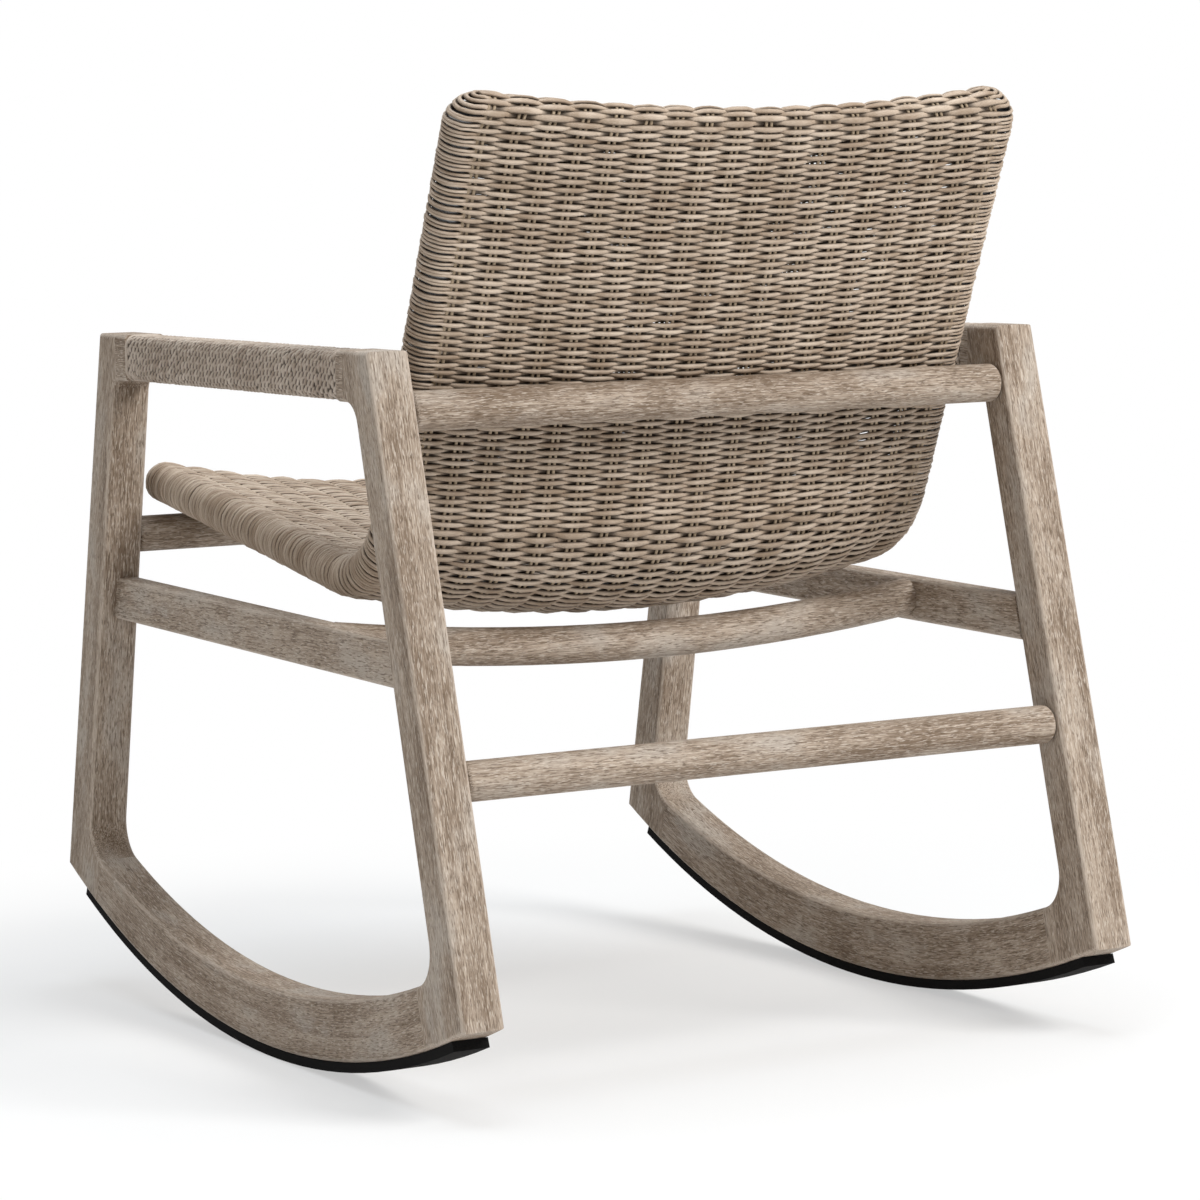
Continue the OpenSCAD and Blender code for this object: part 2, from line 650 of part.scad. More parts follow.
// Woven layers. A row is [place, cap angle]: the angle runs from -90 at the front tip to
// 90 at the top tip and is 0 between the edges. A column is [share of the half width, roll
// angle]: the angle is 90 across the middle and falls to 0 at the side seam.
cap_steps = 4;
roll_steps = 4;
width_steps = 12;
bend_steps = 10;
tip_share = 0.06;
row_places = concat([for (i = [0 : 3]) seat_flat * i / 3],
    [for (i = [1 : bend_steps]) seat_flat + bend_arc * i / bend_steps],
    [for (i = [1 : 2]) seat_flat + bend_arc + (back_bar_at - seat_flat - bend_arc) * i / 2],
    [for (i = [1 : 2]) back_bar_at + (shell_end - back_bar_at) * i / 2]);
skin_rows = concat([for (i = [cap_steps : -1 : 1]) [0, -90 * i / cap_steps]],
    [for (d = row_places) [d, 0]],
    [for (i = [1 : cap_steps]) [shell_end, 90 * i / cap_steps]]);
skin_columns = concat([for (i = [0 : roll_steps - 1]) [-1, 90 * i / roll_steps]],
    [for (i = [0 : width_steps]) [2 * i / width_steps - 1, 90]],
    [for (i = [roll_steps - 1 : -1 : 0]) [1, 90 * i / roll_steps]]);

// Point of the shell's surface, inset from it; face is 1 on the outer and -1 on the sitting side
function skin_point(row, column, inset, face) =
    let (r = roll_r - inset,
         d = row[0],
         share = 1 - column[0] * column[0],
         shrink = max(cos(row[1]), tip_share),
         half = r - thinning * share,
         off = middle_bow(d) * share + face * (half * shrink * sin(column[1]) + seat_gap / 2),
         base = spine(d) + forth(d) * (r * sin(row[1]) - dip(d) * share) + outward(d) * off)
    [column[0] * (shell_half + r * shrink * cos(column[1])), base[0], base[1]];

// A grid's quads as triangles, and the strip that joins two grids along a run of indices
function grid_faces(rows, columns, start, flip) =
    [for (i = [0 : rows - 2], j = [0 : columns - 2], half = [0, 1])
        let (a = start + i * columns + j, b = a + 1, c = a + columns, d = c + 1,
             t = half == 0 ? [a, b, d] : [a, d, c])
        flip ? [t[0], t[2], t[1]] : t];
function strip_faces(run, jump) =
    [for (i = [0 : len(run) - 2], half = [0, 1])
        let (a = run[i], b = run[i + 1])
        half == 0 ? [b, a, a + jump] : [b, a + jump, b + jump]];

module woven_layer(face) {
    rows = len(skin_rows);
    columns = len(skin_columns);
    count = rows * columns;
    points = [for (inset = [0, weave_t], row = skin_rows, column = skin_columns)
        skin_point(row, column, inset, face)];
    border = concat([for (j = [0 : columns - 1]) j],
        [for (i = [1 : rows - 1]) i * columns + columns - 1],
        [for (j = [columns - 2 : -1 : 0]) (rows - 1) * columns + j],
        [for (i = [rows - 2 : -1 : 0]) i * columns]);
    faces = concat(grid_faces(rows, columns, 0, face < 0), grid_faces(rows, columns, count, face > 0),
        face > 0 ? strip_faces(border, count) : [for (f = strip_faces(border, count)) [f[0], f[2], f[1]]]);
    polyhedron(points, faces, convexity = 6);
}

module seat_weave()
    color(wicker) at_rest() woven_layer(-1);

module back_weave()
    color(wicker) at_rest() difference() {
        woven_layer(1);
        pin_holes(pin_places, 2 * seat_gap);
    }

leg(front_leg, 1);  // front_leg_left
leg(front_leg, -1);  // front_leg_right
leg(rear_leg, 1);  // rear_leg_left
leg(rear_leg, -1);  // rear_leg_right
arm_rail(1);  // arm_rail_left
arm_rail(-1);  // arm_rail_right
arm_wrap(1);  // arm_wrap_left
arm_wrap(-1);  // arm_wrap_right
seat_rail(1);  // seat_rail_left
seat_rail(-1);  // seat_rail_right
runner(1);  // runner_left
runner(-1);  // runner_right
runner_pad(1);  // runner_pad_left
runner_pad(-1);  // runner_pad_right
screws_of_pad(1);  // pad_screws_left
screws_of_pad(-1);  // pad_screws_right
dowels_of_runner(1);  // runner_dowels_left
dowels_of_runner(-1);  // runner_dowels_right
dowels_of_arm(1);  // arm_dowels_left
dowels_of_arm(-1);  // arm_dowels_right
dowels_of_rail(1);  // rail_dowels_left
dowels_of_rail(-1);  // rail_dowels_right
back_crossbar();
seat_crossbar();
lower_stretcher();
front_crossbar();
shell_tube(1);  // shell_tube_left
shell_tube(-1);  // shell_tube_right
shell_cross_rods();
shell_pins();
seat_weave();
back_weave();
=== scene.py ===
import math

import bpy
import numpy as np
from mathutils import Matrix, Vector


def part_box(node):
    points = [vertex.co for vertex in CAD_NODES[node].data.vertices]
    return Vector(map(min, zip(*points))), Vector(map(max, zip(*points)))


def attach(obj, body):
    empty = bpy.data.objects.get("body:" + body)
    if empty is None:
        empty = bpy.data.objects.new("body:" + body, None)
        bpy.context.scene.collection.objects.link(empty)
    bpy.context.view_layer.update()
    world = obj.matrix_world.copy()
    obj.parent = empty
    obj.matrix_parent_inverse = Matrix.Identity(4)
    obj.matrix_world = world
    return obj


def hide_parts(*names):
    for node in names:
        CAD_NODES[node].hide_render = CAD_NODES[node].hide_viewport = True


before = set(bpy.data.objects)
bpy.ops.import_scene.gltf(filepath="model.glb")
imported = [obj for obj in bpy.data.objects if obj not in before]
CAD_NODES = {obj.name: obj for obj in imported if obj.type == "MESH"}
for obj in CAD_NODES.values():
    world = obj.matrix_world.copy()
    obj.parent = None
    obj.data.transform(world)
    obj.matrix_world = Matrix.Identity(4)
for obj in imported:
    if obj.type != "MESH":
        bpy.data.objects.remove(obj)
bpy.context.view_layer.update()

bl_info = {
    "name": "Woven rocking chair",
    "version": (1, 0, 0),
    "blender": (4, 5, 0),
    "location": "View3D > Sidebar > Rocking chair",
    "description": "Dresses the rocking chair's frame with its woven shell, wound arms and weathered wood",
    "category": "Object",
}

MM = 0.001

# At rest the chair leans back about the axis of its runners' underside, as its frame does
ROCK_Y = -3.7 * MM
ROCK_Z = 945.8 * MM
REST_Y = 43.3226 * MM
REST_LEAN = math.radians(2.9)


def rocked(points):
    """Points [x, y, z] in metres of the upright chair, moved to where they are at rest."""
    p = np.asarray(points, float)
    y, z = p[..., 1] - ROCK_Y, p[..., 2] - ROCK_Z
    c, s = math.cos(REST_LEAN), math.sin(REST_LEAN)
    return np.stack([p[..., 0], ROCK_Y + REST_Y + y * c + z * s, ROCK_Z - y * s + z * c], -1)


def deselect():
    """Clears the selection, since loading leaves the frame's nodes selected."""
    bpy.ops.object.select_all(action="DESELECT")


def name_piece(obj, name):
    """Gives an object and its mesh one name."""
    obj.name = name
    obj.data.name = name
    return obj


def strand_grid(name, rings, steps, sides):
    """A piece of closed strands: one ring of steps x sides vertices, repeated rings times by an applied Array."""
    deselect()
    # set_strands moves every vertex, so the start's own sizes don't matter
    bpy.ops.mesh.primitive_torus_add(major_segments=steps, minor_segments=sides, major_radius=0.3,
                                     minor_radius=0.002, generate_uvs=False)
    obj = bpy.context.active_object
    array = obj.modifiers.new("rows", "ARRAY")
    array.count = rings
    array.use_relative_offset = False
    array.use_constant_offset = True
    array.constant_offset_displace = (0, 0, 0.005)
    bpy.ops.object.modifier_apply(modifier="rows")
    if len(obj.data.vertices) != rings * steps * sides:
        raise RuntimeError(f"{name}: the strands have {len(obj.data.vertices)} vertices")
    return name_piece(obj, name)


def set_strands(obj, points, tone, run, lift):
    """Puts the vertices at points, shaped (rings, steps, sides, 3), and writes what the wicker finish reads."""
    mesh = obj.data
    rings, steps, sides = points.shape[:3]
    mesh.vertices.foreach_set("co", points.reshape(-1).astype(np.float32))
    # The top attribute sets the painted shade down a strand's sides, and lift sets the painted shade deep in the
    # weave
    top = np.cos(strand_turn(sides))
    for key, values in (("tone", tone), ("run", run), ("lift", lift), ("top", top)):
        layer = mesh.attributes.new(key, "FLOAT", "POINT")
        full = np.broadcast_to(values, (rings, steps, sides)).astype(np.float32)
        layer.data.foreach_set("value", full.reshape(-1))
    mesh.update()
    normals_out(obj, points)
    deselect()
    obj.select_set(True)
    bpy.context.view_layer.objects.active = obj
    bpy.ops.object.shade_smooth()
    obj.select_set(False)


def normals_out(obj, points):
    """Turns every face outwards, by the side on which the first strand's centre line lies."""
    mesh = obj.data
    face = mesh.polygons[0]
    ring = points[0].mean(1)
    centre = Vector(face.center)
    nearest = ring[np.argmin(((ring - np.array(centre)) ** 2).sum(1))]
    if face.normal.dot(centre - Vector(nearest)) < 0:
        mesh.flip_normals()


def strand_turn(sides):
    """Angles round a strand's section, from its outward side."""
    return 2 * np.pi * (np.arange(sides) + 0.5) / sides


def tube_points(centre, across, normal, half_across, half_normal, sides):
    """Surface points round centre lines: centre, across and normal are (rings, steps, 3)."""
    turn = strand_turn(sides)
    return (centre[:, :, None, :]
            + normal[:, :, None, :] * (half_normal[..., None] * np.cos(turn))[..., None]
            + across[:, :, None, :] * (half_across[..., None] * np.sin(turn))[..., None])


def unit_rows(v):
    """Vectors along the last axis, at length one."""
    return v / np.maximum(np.linalg.norm(v, axis=-1, keepdims=True), 1e-12)


def away_from_middle(points, normal):
    """The normals, turned so that they point away from the middle of the closed rings of points."""
    out = points - points.mean(1, keepdims=True)
    return -normal if (normal * out).sum() < 0 else normal


# The shell's surface, from the frame's sizes in millimetres and degrees
SHELL_HALF = 245.4
ROLL_R = 17.85
MID_T = 18.0
SEAT_PITCH = 6.55
RECLINE = 21.1
BEND_R = 88.5
BACK_LEN = 414.0
SEAT_LEN = 431.943
FRONT_C = np.array([-309.926, 443.65])
TOP_DIP = 8.0
BACK_BAR_AT = 595.82
BEND_TURN = 90 - RECLINE + SEAT_PITCH
BEND_TANGENT = BEND_R * math.tan(math.radians(BEND_TURN / 2))
SEAT_FLAT = SEAT_LEN - BEND_TANGENT
BEND_ARC = BEND_R * math.radians(BEND_TURN)
SHELL_END = SEAT_FLAT + BEND_ARC + BACK_LEN - BEND_TANGENT
# How far the outer layer bows out in the middle, at four places along the spine
BOW_AT = [0, SEAT_FLAT + BEND_ARC / 2, BACK_BAR_AT, SHELL_END]
BOW = [11.0, 26.4, 10.8, 10.0]
THINNING = ROLL_R - MID_T / 2
# Radius of the back's top corners, and the least share of the thickness left at the front and top edges
CORNER_R = 30.0
TIP_SHARE = 0.06


def towards(angle):
    """Unit vectors [y, z] at angles in degrees."""
    a = np.radians(angle)
    return np.stack([np.cos(a), np.sin(a)], -1)


def spine(d):
    """Centre line of the side rolls at the places d: points, and the directions forth and outward."""
    turned = np.clip(np.degrees((d - SEAT_FLAT) / BEND_R), 0, BEND_TURN)
    forth, outward = towards(turned - SEAT_PITCH), towards(270 - SEAT_PITCH + turned)
    seat_dir, seat_out = towards(np.array(-SEAT_PITCH)), towards(np.array(270 - SEAT_PITCH))
    bend_c = FRONT_C + seat_dir * SEAT_FLAT - seat_out * BEND_R
    on_seat = FRONT_C + seat_dir * d[..., None]
    beyond = np.maximum(d - SEAT_FLAT - BEND_ARC, 0)[..., None]
    in_bend = bend_c + outward * BEND_R + forth * beyond
    return np.where((d < SEAT_FLAT)[..., None], on_seat, in_bend), forth, outward


def bow(d):
    """How far the outer layer bows out in the middle."""
    out = np.full(d.shape, BOW[0], float)
    for k in range(3):
        t = np.clip((d - BOW_AT[k]) / (BOW_AT[k + 1] - BOW_AT[k]), 0, 1)
        out += (BOW[k + 1] - BOW[k]) * t * t * (3 - 2 * t)
    return out


def skin(d, cap, share, roll, face):
    """The shell's surface in metres. Cap and roll are in degrees, and face is 1, or -1 on the sitter's side."""
    spread = 1 - share * share
    shrink = np.maximum(np.cos(np.radians(cap)), TIP_SHARE)
    half = ROLL_R - THINNING * spread
    off = (bow(d) + THINNING) * spread + face * half * shrink * np.sin(np.radians(roll))
    dip = TOP_DIP * np.sin(np.radians(90 * np.clip((d - SEAT_FLAT) / (SHELL_END - SEAT_FLAT), 0, 1)))
    # The back's top corners are rounder than the side rolls are thick
    reach = d + ROLL_R * np.sin(np.radians(cap)) - (SHELL_END + ROLL_R - CORNER_R)
    drawn = CORNER_R - np.sqrt(np.maximum(CORNER_R ** 2 - np.clip(reach, 0, CORNER_R) ** 2, 0))
    drawn = drawn - np.where(cap > 0, ROLL_R * (1 - shrink), 0)
    point, forth, outward = spine(d)
    base = point + forth * (ROLL_R * np.sin(np.radians(cap)) - dip * spread)[..., None] + outward * off[..., None]
    x = share * (SHELL_HALF + ROLL_R * shrink * np.cos(np.radians(roll)) - np.clip(drawn, 0, CORNER_R - ROLL_R))
    return rocked(np.stack([x, base[..., 0], base[..., 1]], -1) * MM)


class WeaveSettings(bpy.types.PropertyGroup):
    """Sizes and colours of the woven shell."""
    row_pitch: bpy.props.FloatProperty(
        name="Row pitch", description="Distance from one row of the weave to the next", default=0.0034,
        min=0.002, max=0.008, precision=5, unit="LENGTH")
    column_pitch: bpy.props.FloatProperty(
        name="Column pitch", description="Distance between the pairs of upright strands", default=0.028,
        min=0.01, max=0.05, precision=4, unit="LENGTH")
    columns: bpy.props.IntProperty(
        name="Columns", description="Pairs of upright strands across the shell", default=18, min=4, max=30)
    strand: bpy.props.FloatProperty(
        name="Strand", description="Thickness of a strand", default=0.0033, min=0.001, max=0.006,
        precision=5, unit="LENGTH")
    crest: bpy.props.FloatProperty(
        name="Crest width", description="Width of a strand where it passes over a pair", default=0.0047,
        min=0.002, max=0.007, precision=5, unit="LENGTH")
    swing: bpy.props.FloatProperty(
        name="Swing", description="How far a row weaves in and out", default=0.0021, min=0, max=0.004,
        precision=5, unit="LENGTH")
    depth: bpy.props.FloatProperty(
        name="Depth", description="Mean depth of the rows below the shell's surface", default=0.0028,
        min=0, max=0.005, precision=5, unit="LENGTH")
    wander: bpy.props.FloatProperty(
        name="Wander", description="How far a row strays from its line", default=0.0002, min=0, max=0.001,
        precision=5, unit="LENGTH")
    parting: bpy.props.FloatProperty(
        name="Parting", description="How far the strands part into pairs on the side rolls", default=0.0007,
        min=0, max=0.002, precision=5, unit="LENGTH")
    slit: bpy.props.FloatProperty(
        name="Slit", description="Share of a strand's width left open on the side rolls", default=0.13,
        min=0, max=0.4)
    cap_rows: bpy.props.IntProperty(
        name="Edge rows", description="Rows on each quarter turn of the front and top edges", default=6,
        min=2, max=12)
    upright: bpy.props.FloatProperty(
        name="Upright strand", description="Width of an upright strand", default=0.0034, min=0.001, max=0.005,
        precision=5, unit="LENGTH")
    upright_gap: bpy.props.FloatProperty(
        name="Pair spacing", description="Distance between the two upright strands of a pair", default=0.0047,
        min=0.001, max=0.01, precision=5, unit="LENGTH")
    seed: bpy.props.IntProperty(
        name="Seed", description="Seed of the strands' small differences", default=7, min=0, max=999)
    dark: bpy.props.FloatVectorProperty(
        name="Dark strand", description="Colour of a strand's dark stretches", subtype="COLOR", size=3,
        default=(0.300, 0.218, 0.152), min=0, max=1)
    light: bpy.props.FloatVectorProperty(
        name="Light strand", description="Colour of a strand's light stretches", subtype="COLOR", size=3,
        default=(0.595, 0.490, 0.393), min=0, max=1)
    upright_dark: bpy.props.FloatVectorProperty(
        name="Dark upright", description="Colour of an upright strand's dark stretches", subtype="COLOR", size=3,
        default=(0.29, 0.215, 0.14), min=0, max=1)
    upright_light: bpy.props.FloatVectorProperty(
        name="Light upright", description="Colour of an upright strand's light stretches", subtype="COLOR", size=3,
        default=(0.47, 0.37, 0.26), min=0, max=1)
    # The painted shade, which stands in for the shadow on strands deep in the weave and down their sides
    shade: bpy.props.FloatVectorProperty(
        name="Shade", description="Colour of every strand deep in the weave and down its sides", subtype="COLOR",
        size=3, default=(0.034, 0.020, 0.011), min=0, max=1)


class SleeveSettings(bpy.types.PropertyGroup):
    """Sizes and colours of the strand wound round each arm."""
    pitch: bpy.props.FloatProperty(
        name="Pitch", description="Distance from one turn to the next", default=0.0033, min=0.002, max=0.008,
        precision=5, unit="LENGTH")
    corner: bpy.props.FloatProperty(
        name="Corner", description="Corner radius of the wound strand", default=0.0095, min=0.002, max=0.015,
        precision=4, unit="LENGTH")
    swing: bpy.props.FloatProperty(
        name="Swing", description="How far a turn passes over and under the lengthwise strands", default=0.0005,
        min=0, max=0.002, precision=5, unit="LENGTH")
    lean: bpy.props.FloatProperty(
        name="Lean", description="How far a turn leans back for each unit of its height", default=0.55,
        min=0, max=0.8)
    tick: bpy.props.FloatProperty(
        name="Tick", description="Distance between the lengthwise strands", default=0.0055, min=0.004, max=0.03,
        precision=4, unit="LENGTH")
    dark: bpy.props.FloatVectorProperty(
        name="Dark strand", description="Colour of the wound strand's dark stretches", subtype="COLOR", size=3,
        default=(0.34, 0.265, 0.205), min=0, max=1)
    light: bpy.props.FloatVectorProperty(
        name="Light strand", description="Colour of the wound strand's light stretches", subtype="COLOR", size=3,
        default=(0.60, 0.51, 0.43), min=0, max=1)


class WoodSettings(bpy.types.PropertyGroup):
    """Look of the weathered wood."""
    dark: bpy.props.FloatVectorProperty(
        name="Dark grain", description="Colour of the dark grain", subtype="COLOR", size=3,
        default=(0.185, 0.130, 0.088), min=0, max=1)
    light: bpy.props.FloatVectorProperty(
        name="Light grain", description="Colour of the light grain", subtype="COLOR", size=3,
        default=(0.46, 0.375, 0.30), min=0, max=1)
    edge: bpy.props.FloatVectorProperty(
        name="Worn edge", description="Colour of the worn rounded edges", subtype="COLOR", size=3,
        default=(0.62, 0.53, 0.45), min=0, max=1)


class StageSettings(bpy.types.PropertyGroup):
    """Camera and light."""
    lens: bpy.props.FloatProperty(
        name="Lens", description="Focal length of the camera", default=125.28, min=20, max=300, unit="CAMERA")
    world: bpy.props.FloatProperty(
        name="Surrounding light", description="Strength of the light from all round", default=0.30, min=0, max=5)
    key: bpy.props.FloatProperty(
        name="Key light", description="Power of the light from behind", default=150.0, min=0, max=1000, unit="POWER")
    fill: bpy.props.FloatProperty(
        name="Fill light", description="Power of the light from the left", default=6.0, min=0, max=1000, unit="POWER")
    top: bpy.props.FloatProperty(
        name="Top light", description="Power of the light from above", default=62.0, min=0, max=1000, unit="POWER")


def mix_colour(tree, factor, a, b):
    """A colour mix of a and b, which are sockets or colours."""
    node = tree.nodes.new("ShaderNodeMix")
    node.data_type = "RGBA"
    node.clamp_factor = True
    for socket, value in ((node.inputs[0], factor), (node.inputs[6], a), (node.inputs[7], b)):
        if isinstance(value, bpy.types.NodeSocket):
            tree.links.new(value, socket)
        else:
            socket.default_value = value if isinstance(value, float) else (*value, 1.0)
    return node.outputs[2]


def ramp(tree, value, low, high, out_low=0.0, out_high=1.0):
    """A value mapped smoothly from low..high to out_low..out_high."""
    node = tree.nodes.new("ShaderNodeMapRange")
    node.interpolation_type = "SMOOTHSTEP"
    tree.links.new(value, node.inputs[0])
    for i, v in enumerate((low, high, out_low, out_high)):
        node.inputs[i + 1].default_value = v
    return node.outputs[0]


def maths(tree, operation, a, b=0.0):
    """A Math node's result, with a and b sockets or numbers."""
    node = tree.nodes.new("ShaderNodeMath")
    node.operation = operation
    for socket, value in ((node.inputs[0], a), (node.inputs[1], b)):
        if isinstance(value, bpy.types.NodeSocket):
            tree.links.new(value, socket)
        else:
            socket.default_value = value
    return node.outputs[0]


def noise(tree, vector, scale, detail=3.0, roughness=0.55, distortion=0.0):
    """A noise texture's factor."""
    node = tree.nodes.new("ShaderNodeTexNoise")
    tree.links.new(vector, node.inputs["Vector"])
    node.inputs["Scale"].default_value = scale
    node.inputs["Detail"].default_value = detail
    node.inputs["Roughness"].default_value = roughness
    node.inputs["Distortion"].default_value = distortion
    return node.outputs["Fac"]


def scaled(tree, vector, factors):
    """A vector multiplied by three factors."""
    node = tree.nodes.new("ShaderNodeVectorMath")
    node.operation = "MULTIPLY"
    tree.links.new(vector, node.inputs[0])
    node.inputs[1].default_value = factors
    return node.outputs[0]


def new_group(name, inputs, outputs):
    """An empty node group with named sockets: each is (name, kind)."""
    group = bpy.data.node_groups.new(name, "ShaderNodeTree")
    for label, kind in inputs:
        group.interface.new_socket(name=label, in_out="INPUT", socket_type=kind)
    for label, kind in outputs:
        group.interface.new_socket(name=label, in_out="OUTPUT", socket_type=kind)
    return group, group.nodes.new("NodeGroupInput"), group.nodes.new("NodeGroupOutput")


def group_named(name, make):
    """A node group made once and shared."""
    return bpy.data.node_groups.get(name) or make()


SILVER = (0.42, 0.395, 0.365)
PORE = (0.105, 0.068, 0.042)
CHALK = (0.68, 0.60, 0.52)


def grain_group():
    """Weathered wood: the vector's x runs along the grain, in metres."""
    group, into, out = new_group(
        "Weathered grain",
        [("Vector", "NodeSocketVector"), ("Dark", "NodeSocketColor"), ("Light", "NodeSocketColor"),
         ("Edge", "NodeSocketColor"), ("Wear", "NodeSocketFloat")],
        [("Colour", "NodeSocketColor"), ("Roughness", "NodeSocketFloat"), ("Height", "NodeSocketFloat")])
    vector = into.outputs["Vector"]
    # Waves per metre along the grain and across it, from the broad bands to the finest fibres
    broad = noise(group, scaled(group, vector, (2.4, 48.0, 48.0)), 1.0, 4.0, 0.6, 0.6)
    streak = noise(group, scaled(group, vector, (15.0, 480.0, 480.0)), 1.0, 4.0, 0.68, 0.3)
    fine = noise(group, scaled(group, vector, (75.0, 1050.0, 1050.0)), 1.0, 2.0, 0.6)
    fleck = noise(group, scaled(group, vector, (125.0, 900.0, 900.0)), 1.0, 2.0, 0.55)
    pale = noise(group, scaled(group, vector, (105.0, 820.0, 820.0)), 1.3, 2.0, 0.55)
    silver = noise(group, scaled(group, vector, (13.0, 26.0, 26.0)), 1.0, 3.0, 0.55)
    tone = maths(group, "ADD", maths(group, "MULTIPLY", broad, 0.26), maths(group, "MULTIPLY", streak, 0.36))
    tone = maths(group, "ADD", tone, maths(group, "MULTIPLY", fine, 0.38))
    tone = maths(group, "ADD", tone, maths(group, "MULTIPLY", maths(group, "SUBTRACT", silver, 0.5), 0.30))
    base = mix_colour(group, ramp(group, tone, 0.38, 0.61), into.outputs["Dark"], into.outputs["Light"])
    base = mix_colour(group, ramp(group, silver, 0.50, 0.72, 0.0, 0.4), base, SILVER)
    pores = ramp(group, fleck, 0.53, 0.64)
    base = mix_colour(group, maths(group, "MULTIPLY", pores, 0.66), base, PORE)
    chalk = ramp(group, pale, 0.54, 0.66)
    base = mix_colour(group, maths(group, "MULTIPLY", chalk, 0.52), base, CHALK)
    wear = maths(group, "MULTIPLY", into.outputs["Wear"], ramp(group, streak, 0.25, 0.65, 0.35, 1.0))
    base = mix_colour(group, wear, base, into.outputs["Edge"])
    height = maths(group, "SUBTRACT", maths(group, "MULTIPLY", fine, 0.8), maths(group, "MULTIPLY", pores, 0.9))
    group.links.new(base, out.inputs["Colour"])
    group.links.new(ramp(group, streak, 0.3, 0.7, 0.62, 0.78), out.inputs["Roughness"])
    group.links.new(height, out.inputs["Height"])
    return group


def wicker_group():
    """A round woven strand: the run along it and its own tone vary the colour, and painted shade darkens it where its
    lift out of the weave is low and down its sides.
    """
    group, into, out = new_group(
        "Wicker strand",
        [("Run", "NodeSocketFloat"), ("Tone", "NodeSocketFloat"), ("Lift", "NodeSocketFloat"),
         ("Top", "NodeSocketFloat"), ("Place", "NodeSocketVector"), ("Shade", "NodeSocketColor"),
         ("Body", "NodeSocketColor"), ("Crest", "NodeSocketColor")],
        [("Colour", "NodeSocketColor"), ("Roughness", "NodeSocketFloat"), ("Height", "NodeSocketFloat")])
    join = group.nodes.new("ShaderNodeCombineXYZ")
    group.links.new(maths(group, "MULTIPLY", into.outputs["Run"], 17.0), join.inputs[0])
    group.links.new(maths(group, "MULTIPLY", into.outputs["Tone"], 57.0), join.inputs[1])
    along = noise(group, join.outputs[0], 2.0, 2.0)
    fibres = noise(group, scaled(group, into.outputs["Place"], (260.0, 2400.0, 2400.0)), 1.0, 2.0, 0.6)
    patch = noise(group, into.outputs["Place"], 16.0, 2.0)
    tone = maths(group, "ADD", maths(group, "MULTIPLY", into.outputs["Tone"], 0.10),
                 maths(group, "MULTIPLY", along, 0.50))
    tone = maths(group, "ADD", tone, maths(group, "MULTIPLY", fibres, 0.28))
    tone = maths(group, "ADD", tone, maths(group, "MULTIPLY", maths(group, "SUBTRACT", patch, 0.5), 0.25))
    base = mix_colour(group, ramp(group, tone, 0.28, 0.62), into.outputs["Body"], into.outputs["Crest"])
    # Painted shade: a strand is darkened where it lies deep in the weave, and down its sides, where shadow would fall
    low = ramp(group, into.outputs["Lift"], 0.02, 0.44, 0.95, 0.0)
    painted_side_shade = ramp(group, into.outputs["Top"], -0.2, 0.85, 0.8, 0.0)
    base = mix_colour(group, maths(group, "MAXIMUM", low, painted_side_shade), base, into.outputs["Shade"])
    group.links.new(base, out.inputs["Colour"])
    group.links.new(ramp(group, fibres, 0.3, 0.7, 0.5, 0.66), out.inputs["Roughness"])
    group.links.new(fibres, out.inputs["Height"])
    return group


def material(name):
    """An empty node material with its shader."""
    mat = bpy.data.materials.new(name)
    mat.use_nodes = True
    tree = mat.node_tree
    return mat, tree, tree.nodes["Principled BSDF"]


def finish_with(tree, shader, group_node, strength, distance):
    """Links a finish group's colour, roughness and height to the shader."""
    bump = tree.nodes.new("ShaderNodeBump")
    bump.inputs["Strength"].default_value = strength
    bump.inputs["Distance"].default_value = distance
    tree.links.new(group_node.outputs["Height"], bump.inputs["Height"])
    tree.links.new(bump.outputs["Normal"], shader.inputs["Normal"])
    tree.links.new(group_node.outputs["Colour"], shader.inputs["Base Color"])
    tree.links.new(group_node.outputs["Roughness"], shader.inputs["Roughness"])


def wicker_material(name, dark, light, shade):
    """A wicker finish that reads the strands' own attributes."""
    mat, tree, shader = material(name)
    node = tree.nodes.new("ShaderNodeGroup")
    node.node_tree = group_named("Wicker strand", wicker_group)
    for key in ("run", "tone", "lift", "top"):
        read = tree.nodes.new("ShaderNodeAttribute")
        read.attribute_name = key
        tree.links.new(read.outputs["Fac"], node.inputs[key.capitalize()])
    coord = tree.nodes.new("ShaderNodeTexCoord")
    tree.links.new(coord.outputs["Object"], node.inputs["Place"])
    for key, colour in (("Body", dark), ("Crest", light), ("Shade", shade)):
        node.inputs[key].default_value = (*colour, 1.0)
    finish_with(tree, shader, node, strength=0.25, distance=0.0004)
    shader.inputs["Specular IOR Level"].default_value = 0.32
    return mat


# Radius at which the grain of a runner keeps its length
GRAIN_R = 0.9


